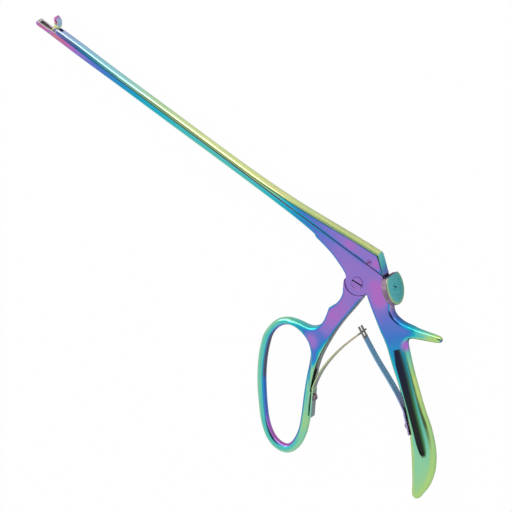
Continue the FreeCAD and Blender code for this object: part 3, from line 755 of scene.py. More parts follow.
@dataclass(frozen=True)
class LoopWall:
    """The film on the inside of the finger loop, told from the outside by the loop's oval."""

    centre: Triple = (-8.0, -68.0, 0.0)
    long_axis: Triple = (0.33, -0.94, 0.0)
    wide_axis: Triple = (0.94, 0.33, 0.0)
    half_length: float = 27.0
    half_width: float = 13.0
    top: Pair = (-40.0, -46.0)
    inward: Pair = (0.1, 0.9)
    edge: Pair = (0.05, 0.45)
    edge_film: float = 0.56
    face: Pair = (0.4, 0.8)
    run: Run = Run(Y_AXIS, ((-97.0, 0.2), (-95.0, 0.26), (-92.5, 0.36), (-88.0, 0.43), (-62.0, 0.47),
                            (-53.0, 0.4), (-46.0, 0.28)))

    def inside(self, graph: Graph) -> Socket:
        """How far the surface faces the inside of the loop.

        Args:
            graph: the coat's nodes.

        Returns:
            A number from 0 to 1.
        """
        offset = graph.vector("SUBTRACT", graph.place, tuple(c * MM for c in self.centre))
        legs = []
        for axis, half in ((self.long_axis, self.half_length), (self.wide_axis, self.half_width)):
            unit = tuple(Vector(axis).normalized())
            reach = graph.math("DIVIDE", graph.vector("DOT_PRODUCT", offset, unit), half ** 2 * MM)
            legs.append(graph.scaled(unit, reach))
        outward = graph.vector("NORMALIZE", graph.vector("ADD", *legs))
        inward = graph.math("MULTIPLY", graph.vector("DOT_PRODUCT", graph.normal, outward), -1.0)
        return graph.product(graph.spread(inward, *self.inward), graph.spread(graph.along(Y_AXIS), *self.top))

    def lay(self, graph: Graph, film: Socket) -> Socket:
        """The film with the loop's inner wall in it.

        Args:
            graph: the coat's nodes.
            film: the film outside the loop.

        Returns:
            The film.
        """
        inside = self.inside(graph)
        film = graph.mixed(graph.spread(inside, *self.edge), film, self.edge_film)
        return graph.mixed(graph.spread(inside, *self.face), film, self.run.read(graph))


@dataclass(frozen=True)
class RainbowCoat:
    """Steel under an oxide film whose thickness sets the colour.

    The film follows a run, is thicker by the turn at rounded edges up to a ceiling, and has other runs on
    the crown, on the rear face and in the loop. Layers of other colours lie on it in their order.
    """

    name: str
    run: Run
    lower_run: Run | None = None
    handover: Pair = (4.0, 22.0)
    patches: tuple[Patch, ...] = ()
    turn: float | Run = 0.0
    rim_band: Pair = (0.05, 0.85)
    ceiling: float = 0.84
    crown: Run | None = None
    crown_turned: Pair = (0.2, 0.55)
    rear_face: Run | None = None
    rear_turned: Pair = (0.86, 0.94)
    loop: LoopWall | None = None
    layers: tuple[Layer, ...] = ()
    wander: float = 0.05
    wander_scale: float = 60.0
    roughness: float = 0.19
    smudge: float = 0.06
    smudge_grain: Pair = (140.0, 4.0)
    brush_grain: Pair = (900.0, 3.0)
    brush: Triple = (1.0, 1.0, 1.0)
    relief: Pair = (0.03, 0.01)
    clear_coat: Pair = (0.25, 0.12)

    def side_film(self, graph: Graph) -> Socket:
        """The film's thickness on the flat sides.

        Args:
            graph: the coat's nodes.

        Returns:
            A number from 0 to 1.
        """
        side = self.run.read(graph)
        if self.lower_run:
            share = graph.spread(graph.along(X_AXIS), *self.handover)
            side = graph.mixed(share, side, self.lower_run.read(graph))
        for patch in self.patches:
            side = patch.lay(graph, side)
        return side

    def film(self, graph: Graph) -> Socket:
        """The film's thickness over the piece.

        Args:
            graph: the coat's nodes.

        Returns:
            A number from 0 to 1.
        """
        side = self.side_film(graph)
        edge = graph.add("ShaderNodeAttribute", attribute_name=RIM)
        turn = self.turn.read(graph) if isinstance(self.turn, Run) else self.turn
        rim = graph.product(graph.spread(edge.outputs["Fac"], *self.rim_band), turn)
        thicker = graph.math("MINIMUM", graph.math("ADD", side, rim), self.ceiling)
        film = graph.math("MAXIMUM", side, thicker)
        for run, axis, turned in ((self.crown, Y_AXIS, self.crown_turned),
                                  (self.rear_face, REARWARD, self.rear_turned)):
            if run:
                film = graph.mixed(graph.spread(graph.facing(axis), *turned), film, run.read(graph))
        if self.loop:
            film = self.loop.lay(graph, film)
        drift = graph.math("SUBTRACT", graph.noise(self.wander_scale), 0.5)
        film = graph.math("ADD", film, graph.product(drift, self.wander * 2.0))
        return graph.math("MAXIMUM", graph.math("MINIMUM", film, 1.0), 0.0)

    def build(self) -> bpy.types.Material:
        """Makes the material.

        Returns:
            The finished material.
        """
        graph = Graph(self.name)
        colour = graph.ramp(self.film(graph), FILM_ORDER)
        smudges = graph.product(graph.noise(*self.smudge_grain), self.smudge)
        rough = graph.math("ADD", self.roughness - self.smudge / 2.0, smudges)
        for layer in self.layers:
            colour = layer.tint(graph, colour)
            # the painted seam shade also makes the seam rougher
            if isinstance(layer, SeamShade):
                rough = graph.math("ADD", rough, graph.product(layer.line(graph), layer.roughness))
        graph.bump(graph.noise(*self.brush_grain, self.brush), *self.relief)
        return graph.metal(colour, rough, self.clear_coat)


@dataclass(frozen=True)
class DiscCoat:
    """The disc's finish: a teal face with a yellow-green edge and a grey-violet knurl."""

    centre: Triple
    face: Stations = ((0.0, 0.66), (6.2, 0.64), (7.8, 0.72), (8.7, 0.88), (9.2, 0.92))
    veil: Triple = (120, 150, 165)
    veil_amount: float = 0.18
    knurl_bright: Triple = (164, 140, 150)
    knurl_dark: Triple = (128, 112, 146)
    knurl_grain: Pair = (300.0, 3.0)
    turned: Pair = (0.55, 0.85)
    roughness: float = 0.22
    clear_coat: Pair = (0.15, 0.03)

    def build(self) -> bpy.types.Material:
        """Makes the material.

        Returns:
            The finished material.
        """
        graph = Graph("disc_rainbow")
        out = tuple(Vector(REARWARD).normalized())
        offset = graph.vector("SUBTRACT", graph.place, tuple(c * MM for c in self.centre))
        height = graph.vector("DOT_PRODUCT", offset, out)
        flat_offset = graph.vector("SUBTRACT", offset, graph.scaled(out, height))
        away = graph.math("MULTIPLY", graph.vector("LENGTH", flat_offset), 1.0 / MM)
        face = graph.ramp(graph.profile(away, self.face), FILM_ORDER)
        face = graph.tinted(self.veil_amount, face, linear(self.veil))
        grain = graph.noise(*self.knurl_grain)
        knurl = graph.tinted(grain, linear(self.knurl_bright), linear(self.knurl_dark))
        colour = graph.tinted(graph.spread(graph.facing(out), *self.turned), knurl, face)
        return graph.metal(colour, self.roughness, self.clear_coat)


@dataclass(frozen=True)
class BareSteel:
    """Uncoated or worn steel of the small pins and the domed screws."""

    name: str
    colour: Triple = (178, 174, 176)
    roughness: float = 0.3
    darker: float = 0.82
    spots: Pair = (400.0, 4.0)
    grain: Pair = (1400.0, 3.0)
    relief: Pair = (0.1, 0.02)

    def build(self) -> bpy.types.Material:
        """Makes the material.

        Returns:
            The finished material.
        """
        graph = Graph(self.name)
        dark = tuple(channel * self.darker for channel in self.colour)
        colour = graph.tinted(graph.noise(*self.spots), linear(self.colour), linear(dark))
        graph.bump(graph.noise(*self.grain), *self.relief)
        return graph.metal(colour, self.roughness)


def mesh_object(name: str, vertices: np.ndarray, faces: list[tuple[int, ...]]) -> bpy.types.Object:
    """Makes a smooth-shaded mesh object in the scene.

    Args:
        name: the piece's name.
        vertices: points in metres.
        faces: corner indices of each face.

    Returns:
        The new object.
    """
    mesh = bpy.data.meshes.new(name)
    mesh.from_pydata([tuple(map(float, v)) for v in vertices], [], faces)
    mesh.validate()
    item = bpy.data.objects.new(name, mesh)
    bpy.context.scene.collection.objects.link(item)
    tidy(item)
    return item


def tidy(item: bpy.types.Object, crease_deg: float = 40.0) -> None:
    """Merges doubled points, turns faces outward and keeps edges over an angle sharp.

    Args:
        item: the object whose mesh is tidied.
        crease_deg: the angle in degrees.
    """
    work = bmesh.new()
    work.from_mesh(item.data)
    bmesh.ops.remove_doubles(work, verts=work.verts, dist=DOUBLED)
    bmesh.ops.dissolve_degenerate(work, edges=work.edges, dist=1e-7)
    bmesh.ops.recalc_face_normals(work, faces=work.faces)
    limit = math.radians(crease_deg)
    for edge in work.edges:
        edge.smooth = not (edge.is_manifold and edge.calc_face_angle(0.0) > limit)
    for face in work.faces:
        face.smooth = True
    work.to_mesh(item.data)
    work.free()


def column(items: bpy.types.bpy_prop_collection, key: str, width: int, kind: type = float) -> np.ndarray:
    """Reads one property of each of a mesh's items.

    Args:
        items: the vertices, the normals or the edges.
        key: the property's name.
        width: how many numbers it has.
        kind: the kind of number.

    Returns:
        One row for each item.
    """
    values = np.empty(len(items) * width, dtype=kind)
    items.foreach_get(key, values)
    return values.reshape(-1, width)


def relaxed(points: np.ndarray, edges: np.ndarray, rounds: int, share: np.ndarray) -> np.ndarray:
    """Rounds a dense mesh by moving each point halfway to the mean of its neighbours.

    Args:
        points: one row for each vertex.
        edges: index pairs.
        rounds: number of steps.
        share: how much of each step a vertex takes, from 0 to 1.

    Returns:
        The new rows.
    """
    count = len(points)
    ends = np.concatenate([edges[:, 0], edges[:, 1]])
    others = np.concatenate([edges[:, 1], edges[:, 0]])
    degree = np.bincount(ends, minlength=count).astype(float)[:, None]
    for _ in range(rounds):
        mean = np.stack([np.bincount(ends, points[others, axis], count) for axis in range(3)], axis=1)
        points = points + 0.5 * share[:, None] * (mean / degree - points)
    return points


@dataclass(frozen=True)
class Zone:
    """A box in the plane of the instrument whose points take only a share of the rounding."""

    low: Pair
    high: Pair
    share: float


@dataclass(frozen=True)
class Melt:
    """An area around a line in the plane of the instrument that flows together like a forged blend."""

    start: Pair
    end: Pair
    radius: float
    rounds: int

    def apply(self, points: np.ndarray, edges: np.ndarray) -> np.ndarray:
        """Rounds the points near the line.

        Args:
            points: vertex positions in metres.
            edges: index pairs.

        Returns:
            The new positions.
        """
        plane = points[:, :2] / MM
        start, leg = np.array(self.start), np.array(self.end) - np.array(self.start)
        share = np.clip((plane - start) @ leg / (leg @ leg), 0.0, 1.0)
        away = np.linalg.norm(plane - start - share[:, None] * leg, axis=1)
        fade = np.clip((self.radius - away) / (self.radius * 0.5), 0.0, 1.0)
        used = edges[(fade[edges] > 0.0).any(axis=1)]
        keys, local = np.unique(used, return_inverse=True)
        moved = points.copy()
        moved[keys] = relaxed(points[keys], local.reshape(-1, 2), self.rounds, fade[keys])
        return moved


@dataclass(frozen=True)
class Polished:
    """A forged or milled piece, remade from its CAD solid with the soft edges of tumbled steel.

    A quiet circle (x, y, radius) keeps the film of a flat side where a screw or a boss has edges.
    """

    node: str
    name: str
    voxel: float
    rounds: int
    zones: tuple[Zone, ...] = ()
    melts: tuple[Melt, ...] = ()
    hollow: Hollow | None = None
    quiet: tuple[Triple, ...] = ()
    flat_normal: float = 0.97
    turned_normal: float = 0.62
    rim_rounds: int = 45
    rim_voxel: float = 0.3
    rim_gain: float = 1.5

    def build(self) -> bpy.types.Object:
        """Copies the CAD mesh, remeshes it finely and rounds its edges.

        Returns:
            The new object.
        """
        item = self.remeshed()
        mesh = item.data
        points = column(mesh.vertices, "co", 3)
        edges = column(mesh.edges, "vertices", 2, np.int64)
        plane = points[:, :2] / MM
        share = np.ones(len(points))
        for zone in self.zones:
            share[np.all((plane > zone.low) & (plane < zone.high), axis=1)] = zone.share
        for melt in self.melts:
            points = melt.apply(points, edges)
        if self.hollow:
            points = self.hollow.press(points)
        points = relaxed(points, edges, self.rounds, share)
        mesh.vertices.foreach_set("co", points.ravel())
        mesh.shade_smooth()
        mesh.update()
        self.mark_rims(mesh, edges)
        LOG.info("%s: %d points", self.name, len(points))
        return item

    def remeshed(self) -> bpy.types.Object:
        """Copies the CAD mesh into small even faces.

        Returns:
            The new object.
        """
        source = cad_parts[self.node]
        item = bpy.data.objects.new(self.name, source.data.copy())
        item.matrix_world = source.matrix_world.copy()
        bpy.context.scene.collection.objects.link(item)
        item.data.materials.clear()
        work = bmesh.new()
        work.from_mesh(item.data)
        bmesh.ops.remove_doubles(work, verts=work.verts, dist=DOUBLED / 2.0)
        work.to_mesh(item.data)
        work.free()
        remesh = item.modifiers.new("remesh", "REMESH")
        remesh.mode = "VOXEL"
        remesh.voxel_size = self.voxel * MM
        graph = bpy.context.evaluated_depsgraph_get()
        mesh = bpy.data.meshes.new_from_object(item.evaluated_get(graph))
        item.modifiers.clear()
        item.data = mesh
        return item

    def mark_rims(self, mesh: bpy.types.Mesh, edges: np.ndarray) -> None:
        """Stores how near each point is to a turned edge, spread softly over the surface.

        Args:
            mesh: the rounded mesh.
            edges: its index pairs.
        """
        tilt = np.abs(column(mesh.vertex_normals, "vector", 3)[:, 2])
        turned = np.clip((self.flat_normal - tilt) / (self.flat_normal - self.turned_normal), 0.0, 1.0)
        plane = column(mesh.vertices, "co", 3)[:, :2] / MM
        for x, y, radius in self.quiet:
            turned[np.hypot(plane[:, 0] - x, plane[:, 1] - y) < radius] = 0.0
        rounds = int(self.rim_rounds * (self.rim_voxel / self.voxel) ** 2)
        spread = relaxed(np.column_stack([turned] * 3), edges, rounds, np.ones(len(turned)))
        rim = mesh.attributes.new(RIM, "FLOAT", "POINT")
        rim.data.foreach_set("value", np.clip(spread[:, 0] * self.rim_gain, 0.0, 1.0).astype(np.float32))


def dressed(item: bpy.types.Object, material: bpy.types.Material) -> None:
    """Gives a mesh one material."""
    item.data.materials.clear()
    item.data.materials.append(material)


def shown(item: bpy.types.Object, body: str, slot: str, *nodes: str) -> None:
    """Rides a piece on a body and hides the CAD nodes that it stands for.

    Args:
        item: the piece.
        body: the body's name.
        slot: the slot's name, which is not used.
        *nodes: the CAD nodes.
    """
    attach(item, body)
    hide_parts(*nodes)
    LOG.info("piece %s rides on %s", item.name, body)


@dataclass
class FixedBody:
    """The forged lower shaft with its basket, body plate, rear grip and thumb spur."""

    voxel: float = 0.3
    rounds: int = 30
    shaft_film: Stations = (
        (-212.0, 0.12), (-208.0, 0.09), (-200.0, 0.08), (-194.0, 0.14), (-188.0, 0.20), (-180.0, 0.29),
        (-172.0, 0.38), (-162.0, 0.46), (-146.0, 0.53), (-130.0, 0.58), (-110.0, 0.63), (-95.0, 0.64),
        (-68.0, 0.60), (-52.0, 0.53), (-40.0, 0.44), (-28.0, 0.36), (-16.0, 0.30), (10.0, 0.27))
    grip_film: Stations = (
        (6.0, 0.26), (12.0, 0.28), (19.0, 0.34), (28.0, 0.4), (38.0, 0.49), (50.0, 0.56), (62.0, 0.64),
        (78.0, 0.72), (96.0, 0.77), (112.0, 0.82), (124.0, 0.88), (132.0, 0.93))
    spur_film: Stations = (
        (-212.0, 0.5), (12.0, 0.1), (17.0, 0.2), (23.0, 0.33), (30.0, 0.47), (38.0, 0.64), (44.0, 0.76),
        (50.0, 0.86), (90.0, 0.83))
    edge_film: Stations = (
        (-212.0, 0.12), (-190.0, 0.14), (-165.0, 0.1), (-60.0, 0.14), (-30.0, 0.24), (90.0, 0.24))
    patches: tuple[Patch, ...] = (
        Patch((9.5, 4.5, 7.0), 6.0, 0.22, 0.7), Patch((14.5, -0.5, 7.0), 6.0, 0.2, 0.75),
        Patch((39.5, -11.6, 5.5), 4.2, 0.0, 1.0, 0.4), Patch((42.0, -3.0, 4.0), 8.0, 0.7, 0.9),
        Patch((47.5, -0.5, 4.0), 7.0, 0.86, 0.9), Patch((52.6, 1.6, 4.0), 3.2, 0.0, 1.0))
    back: Wall = Wall((0.6, 0.8, 0.0), (186, 150, 176), 0.75, (0.7071, -0.7071, 0.0), 8.5, 15.0, 3.0)
    hollow: Hollow = Hollow()
    # bare steel inside the basket, darkened as painted shade in the cup
    basket: SteelAndShadeBox = SteelAndShadeBox((-211.5, 4.0, 1.76), (-195.0, 10.7, 5.24), None, (112, 104, 100),
                                (56, 50, 48))
    # bare steel on top of the basket's lip, lighter than the other steel as a painted highlight
    basket_lip: SteelAndShadeBox = SteelAndShadeBox((-213.0, 10.7, -1.0), (-199.5, 12.6, 8.0), Y_AXIS, (214, 206, 204),
                                    (160, 150, 148))
    # painted shade: near black in the disc's seat under the slide's heel
    seat: SteelAndShadeBox = SteelAndShadeBox((8.2, 9.2, -1.0), (14.0, 12.6, 8.0), (0.7, 0.8, 0.0), (30, 26, 34),
                              (18, 16, 24))
    # partly the film's dark magenta and partly a painted dark reflection at the spur's tip
    spur_tip: Shade = Shade((53.2, 1.4, 3.5), 3.2, (96, 48, 84), 0.85)
    spur_root: Shade = Shade((38.4, -12.6, 6.0), 4.4, (186, 96, 208), 0.9)
    seam_zone: Zone = Zone((-197.0, 10.9), (12.0, 13.0), 0.3)
    pivot_zone: Zone = Zone((-7.6, -7.6), (7.6, 7.6), 0.08)
    nose_zone: Zone = Zone((-215.0, 0.0), (-197.0, 15.0), 0.35)
    melts: tuple[Melt, ...] = (
        Melt((20.0, -3.0), (34.0, -6.0), 7.0, 160), Melt((34.0, -5.5), (49.0, 0.0), 7.5, 80),
        Melt((35.0, -17.0), (58.0, -36.0), 12.0, 120), Melt((58.0, -42.0), (84.0, -88.0), 13.0, 110))
    quiet: tuple[Triple, ...] = ((0.0, 0.0, 8.0), (6.0, 11.0, 7.0))

    def coat(self) -> RainbowCoat:
        """Rose at the nose, blue and cyan along the shaft, violet on the plate, green on the grip.

        Returns:
            The finish.
        """
        return RainbowCoat(
            name="frame_rainbow", run=Run(X_AXIS, self.shaft_film), lower_run=Run(GRIP_AXIS, self.grip_film),
            turn=Run(X_AXIS, self.edge_film), crown=Run(X_AXIS, self.spur_film), patches=self.patches,
            layers=(SeamShade(), self.back, self.hollow, self.basket, self.basket_lip, self.seat, self.spur_tip,
                    self.spur_root),
            brush=(0.2, 1.0, 1.0))

    def build(self) -> None:
        """Makes the polished forging."""
        body = Polished(
            "fixed_frame", "polished_frame", self.voxel, self.rounds, melts=self.melts, hollow=self.hollow,
            zones=(self.seam_zone, self.pivot_zone, self.nose_zone), quiet=self.quiet).build()
        dressed(body, self.coat().build())
        shown(body, "body", "frame_titanium", "fixed_frame")


@dataclass
class Slide:
    """The sliding upper half of the shaft."""

    voxel: float = 0.25
    rounds: int = 30
    side_film: Stations = (
        (-205.0, 0.09), (-198.0, 0.12), (-192.0, 0.18), (-184.0, 0.27), (-176.0, 0.38), (-168.0, 0.47),
        (-158.0, 0.54), (-148.0, 0.60), (-124.0, 0.68), (-100.0, 0.71), (-76.0, 0.67), (-60.0, 0.60),
        (-46.0, 0.45), (-30.0, 0.33), (-14.0, 0.28), (10.0, 0.26))
    crown_film: Stations = (
        (-205.0, 0.36), (-196.0, 0.44), (-184.0, 0.52), (-172.0, 0.58), (-156.0, 0.68), (-136.0, 0.84),
        (-110.0, 0.91), (-60.0, 0.93), (-28.0, 0.90), (8.0, 0.90))
    # painted highlight on the crown: the share of pale colour it takes along the slide
    crown_highlight: Stations = (
        (-205.0, 0.5), (-196.0, 0.36), (-160.0, 0.34), (-125.0, 0.25), (-90.0, 0.15), (8.0, 0.05))
    rear_film: Stations = ((11.8, 0.3), (13.5, 0.42), (15.5, 0.56), (18.0, 0.64), (20.4, 0.68))
    patches: tuple[Patch, ...] = (
        Patch((4.5, 15.0, 7.0), 4.5, 0.19, 0.8), Patch((-13.0, 15.0, 7.0), 5.0, 0.22, 0.6))
    rail_zone: Zone = Zone((-210.0, 8.0), (12.0, 12.5), 0.15)
    screw_zone: Zone = Zone((-2.4, 10.9), (2.4, 15.7), 0.0)
    fork_zone: Zone = Zone((-210.0, 12.9), (-196.0, 16.0), 0.3)
    quiet: tuple[Triple, ...] = ((0.0, 13.3, 2.6),)

    def coat(self) -> RainbowCoat:
        """Like the shaft on its sides, with a crown that turns from blue to yellow-green.

        Returns:
            The finish.
        """
        # a painted highlight along the top of the crown, palest at the nose
        painted_crown_highlight = Pale(colour=(240, 246, 244), painted_highlight_run=Run(X_AXIS, self.crown_highlight))
        return RainbowCoat(
            name="slide_rainbow", run=Run(X_AXIS, self.side_film), crown=Run(X_AXIS, self.crown_film),
            rear_face=Run(Y_AXIS, self.rear_film), turn=0.22, patches=self.patches,
            layers=(painted_crown_highlight, CrownDarkReflection(), SeamShade()), brush=(0.2, 1.0, 1.0))

    def build(self) -> None:
        """Makes the polished slide."""
        bar = Polished("slide_bar", "polished_slide", self.voxel, self.rounds, quiet=self.quiet,
                       zones=(self.rail_zone, self.screw_zone, self.fork_zone)).build()
        dressed(bar, self.coat().build())
        shown(bar, "slide", "slide_titanium", "slide_bar")


@dataclass
class RingHandle:
    """The moving handle with its finger loop."""

    voxel: float = 0.28
    rounds: int = 30
    film: Stations = (
        (-8.0, 0.28), (10.0, 0.27), (24.0, 0.24), (33.0, 0.3), (40.0, 0.5), (46.0, 0.66), (60.0, 0.68),
        (78.0, 0.7), (94.0, 0.66))
    patches: tuple[Patch, ...] = (
        Patch((-5.5, -43.0, 6.0), 8.0, 0.25, 0.95), Patch((-1.5, -50.0, 6.0), 7.0, 0.33, 0.8),
        Patch((9.0, -84.0, 5.0), 13.0, 0.82, 0.9), Patch((3.0, -92.0, 5.0), 6.0, 0.8, 0.8))
    # painted dark reflection on the shank's rear wall, which faces the rear grip
    back: Wall = Wall((0.85, 0.5, 0.0), (98, 90, 92), 0.85, LOOPWARD, 6.0, 74.0)
    pivot_zone: Zone = Zone((-8.2, -8.2), (8.2, 8.0), 0.08)
    arm_zone: Zone = Zone((-6.0, 8.0), (6.0, 16.0), 0.2)
    leaf_zone: Zone = Zone((0.0, -84.0), (14.0, -56.0), 0.4)
    melts: tuple[Melt, ...] = (
        Melt((-26.0, -48.0), (-10.0, -38.5), 10.0, 160), Melt((-12.0, -92.0), (0.0, -94.0), 9.0, 40))
    quiet: tuple[Triple, ...] = ((0.0, 0.0, 8.6),)

    def coat(self) -> RainbowCoat:
        """Violet on the shank and cyan-green round the loop.

        Returns:
            The finish.
        """
        return RainbowCoat(
            name="handle_rainbow", run=Run(LOOPWARD, self.film), turn=0.24, ceiling=0.76,
            patches=self.patches, loop=LoopWall(), layers=(self.back,))

    def build(self) -> None:
        """Makes the polished handle."""
        handle = Polished(
            "ring_handle", "polished_handle", self.voxel, self.rounds, melts=self.melts, quiet=self.quiet,
            zones=(self.pivot_zone, self.arm_zone, self.leaf_zone)).build()
        dressed(handle, self.coat().build())
        shown(handle, "handle", "handle_titanium", "ring_handle")


@dataclass
class Jaw:
    """The hinged upper jaw and its two pins."""

    voxel: float = 0.1
    rounds: int = 5
    film: Stations = ((9.0, 1.0), (15.5, 0.93), (16.0, 0.02), (17.5, 0.08), (19.0, 0.14), (21.0, 0.2))
    back: Wall = Wall((1.0, 0.3, 0.0), (150, 196, 226), 0.85, Y_AXIS, 12.5, 40.0)
    cup: SteelAndShadeBox = SteelAndShadeBox((-215.0, 9.0, 1.9), (-190.0, 30.0, 5.1), (-1.0, -0.1, 0.0))
    pins: tuple[str, ...] = ("jaw_hinge_pin", "jaw_link_pin")

    def build(self) -> None:
        """Makes the polished jaw and gives the pins their steel."""
        coat = RainbowCoat(name="jaw_rainbow", run=Run(Y_AXIS, self.film), turn=0.06, roughness=0.22,
                           layers=(self.back, self.cup))
        jaw = Polished("upper_jaw", "polished_jaw", self.voxel, self.rounds).build()
        dressed(jaw, coat.build())
        shown(jaw, "jaw", "jaw_titanium", "upper_jaw")
        steel = BareSteel("pin_steel_ground")
        for node in self.pins:
            dressed(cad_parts[node], steel.build())
            LOG.info("%s keeps its CAD mesh", node)


@dataclass
class LockDisc:
    """The knurled half-moon disc that keeps the slide on."""

    radius: float = 9.1
    thickness: float = 3.4
    flat: float = 6.2
    lift: float = 0.1
    chamfer: float = 0.45
    lip: float = 0.12
    land: float = 1.2
    recess_radius: float = 1.8
    recess_lip: float = 0.15
    recess_depth: float = 1.0
    knurl: float = 0.24
    knurl_start: float = 0.36
    knurl_rows: int = 20
    knurl_rise: float = 1.05
    edge_knurl: float = 0.3
    ridges: int = 58
    around: int = 464
    crease_deg: float = 24.0
    centre: Triple = (14.8376, 6.9624, MIDDLE)

    def profile(self) -> list[Triple]:
        """Draws the half section.

        Returns:
            Points as (radius, height, share of the knurl).
        """
        rows = [(self.recess_radius, 0.0, 0.0), (self.radius - self.chamfer, 0.0, 0.0)]
        for index in range(self.knurl_rows + 1):
            share = index / self.knurl_rows
            height = self.knurl_start + (self.thickness - self.knurl_start * 2.0) * share
            rows.append((self.radius, height, 1.0 if 0 < index < self.knurl_rows else self.edge_knurl))
        top = self.thickness
        rows += [(self.radius - self.chamfer / 2.0, top - self.lip, 0.0),
                 (self.radius - self.chamfer, top, 0.0), (self.radius - self.land, top, 0.0),
                 (self.recess_radius + self.recess_lip, top, 0.0), (self.recess_radius, top - self.lip, 0.0),
                 (self.recess_radius, top - self.recess_depth, 0.0)]
        return rows

    def groove(self, turns: float, height: float) -> float:
        """Cuts the crossed knurl.

        Args:
            turns: ridges passed around the disc.
            height: above the disc's seat.

        Returns:
            The groove's depth.
        """
        rise = height / self.knurl_rise
        left, right = (abs((slant % 1.0) * 2.0 - 1.0) for slant in (turns + rise, turns - rise))
        return self.knurl * (1.0 - min(left, right))

    def turned(self) -> bpy.types.Object:
        """Turns the section into a full disc at the origin.

        Returns:
            The disc.
        """
        rows = self.profile()
        around = self.around
        points = []
        for radius, height, share in rows:
            for index in range(around):
                turn = index / around
                reach = radius - (share * self.groove(turn * self.ridges, height) if share else 0.0)
                angle = 2.0 * math.pi * turn
                points.append((reach * math.cos(angle), reach * math.sin(angle), height))
        faces = []
        for row in range(0, (len(rows) - 1) * around, around):
            for index in range(around):
                ahead = (index + 1) % around
                faces.append((row + index, row + ahead, row + around + ahead, row + around + index))
        last = (len(rows) - 1) * around
        faces.append(tuple(last + index for index in range(around)))
        faces.append(tuple(reversed(range(around))))
        return mesh_object("knurled_disc", np.array(points) * MM, faces)

    def cut_flat(self, disc: bpy.types.Object) -> None:
        """Cuts the disc along its flat and closes the cut.

        Args:
            disc: the full disc.
        """
        work = bmesh.new()
        work.from_mesh(disc.data)
        cut = bmesh.ops.bisect_plane(
            work, geom=work.verts[:] + work.edges[:] + work.faces[:], dist=1e-7,
            plane_co=(0.0, self.flat * MM, 0.0), plane_no=Y_AXIS, clear_outer=True)
        rim = [item for item in cut["geom_cut"] if isinstance(item, bmesh.types.BMEdge)]
        bmesh.ops.holes_fill(work, edges=rim)
        work.to_mesh(disc.data)
        work.free()

    def build(self) -> None:
        """Makes the disc and sets it on its seat."""
        disc = self.turned()
        self.cut_flat(disc)
        out = Vector(REARWARD).normalized()
        turn = Matrix(((0.0, -out.y, out.x), (0.0, out.x, out.y), (-1.0, 0.0, 0.0)))
        seat = Vector(self.centre) * MM + out * self.lift * MM
        disc.data.transform(Matrix.Translation(seat) @ turn.to_4x4())
        tidy(disc, self.crease_deg)
        dressed(disc, DiscCoat(self.centre).build())
        shown(disc, "disc", "disc_titanium", "lock_disc")


def strip_rings(path: list[Vector], widths: list[float], thickness: float) -> tuple[list, list]:
    """Sweeps a flat strip with eased edges along a path in the plane of the instrument.

    Args:
        path: centre points.
        widths: the strip's width at each point.
        thickness: of the strip.

    Returns:
        The points and the faces.
    """
    ease, thick = thickness * EASED, thickness / 2.0
    points: list[Triple] = []
    faces: list[tuple[int, ...]] = []
    for index, (at, width) in enumerate(zip(path, widths)):
        along = (path[min(index + 1, len(path) - 1)] - path[max(index - 1, 0)]).normalized()
        normal = Vector((-along.y, along.x, 0.0))
        half = width / 2.0
        flat, tall = thick - ease, half - ease
        section = [(thick, tall), (flat, half), (-flat, half), (-thick, tall),
                   (-thick, -tall), (-flat, -half), (flat, -half), (thick, -tall)]
        points += [tuple(at + normal * n + Vector((0.0, 0.0, z))) for n, z in section]
    for row in range(0, len(points) - 8, 8):
        for corner in range(8):
            ahead = (corner + 1) % 8
            faces.append((row + corner, row + ahead, row + 8 + ahead, row + 8 + corner))
    faces.append(tuple(range(8)))
    faces.append(tuple(reversed(range(len(points) - 8, len(points)))))
    return points, faces


def smooth_path(spots: list[Triple], count: int) -> list[Vector]:
    """Draws a Catmull-Rom curve through spots.

    Args:
        spots: the points that it passes.
        count: the number of its steps.

    Returns:
        The points along the curve.
    """
    spline = [Vector(s) for s in spots]
    padded = [spline[0] * 2 - spline[1], *spline, spline[-1] * 2 - spline[-2]]
    path = []
    for index in range(count + 1):
        share = index / count * (len(spline) - 1)
        leg = min(int(share), len(spline) - 2)
        t = share - leg
        a, b, c, d = padded[leg:leg + 4]
        path.append(0.5 * ((2 * b) + (c - a) * t + (2 * a - 5 * b + 4 * c - d) * t * t
                           + (3 * b - a - 3 * c + d) * t ** 3))
    return path


@dataclass
class Leaf:
    """What both leaf springs share: flat strips, swept in the instrument's middle plane."""

    thickness: float = 0.8
    width: float = 5.2
    steps: int = 96
    inset: float = 0.02
    blend_lead: float = 2.5
    roughness: float = 0.24
    wander: float = 0.03

    def sweep(self, name: str, parts: list[tuple[list[Vector], list[float], float]]) -> bpy.types.Object:
        """Joins swept strips into one mesh.

        Args:
            name: the mesh's name.
            parts: the path, the widths and the thickness of each strip.

        Returns:
            The new object.
        """
        points: list[Triple] = []
        faces: list[tuple[int, ...]] = []
        for path, widths, thickness in parts:
            more, their = strip_rings(path, widths, thickness)
            faces += [tuple(len(points) + corner for corner in face) for face in their]
            points += more
        return mesh_object(name, (np.array(points) + np.array((0.0, 0.0, MIDDLE))) * MM, faces)

    @staticmethod
    def in_metres(spot: Vector) -> Triple:
        """A point of the path in the part's frame."""
        return tuple((spot + Vector((0.0, 0.0, MIDDLE))) * MM)


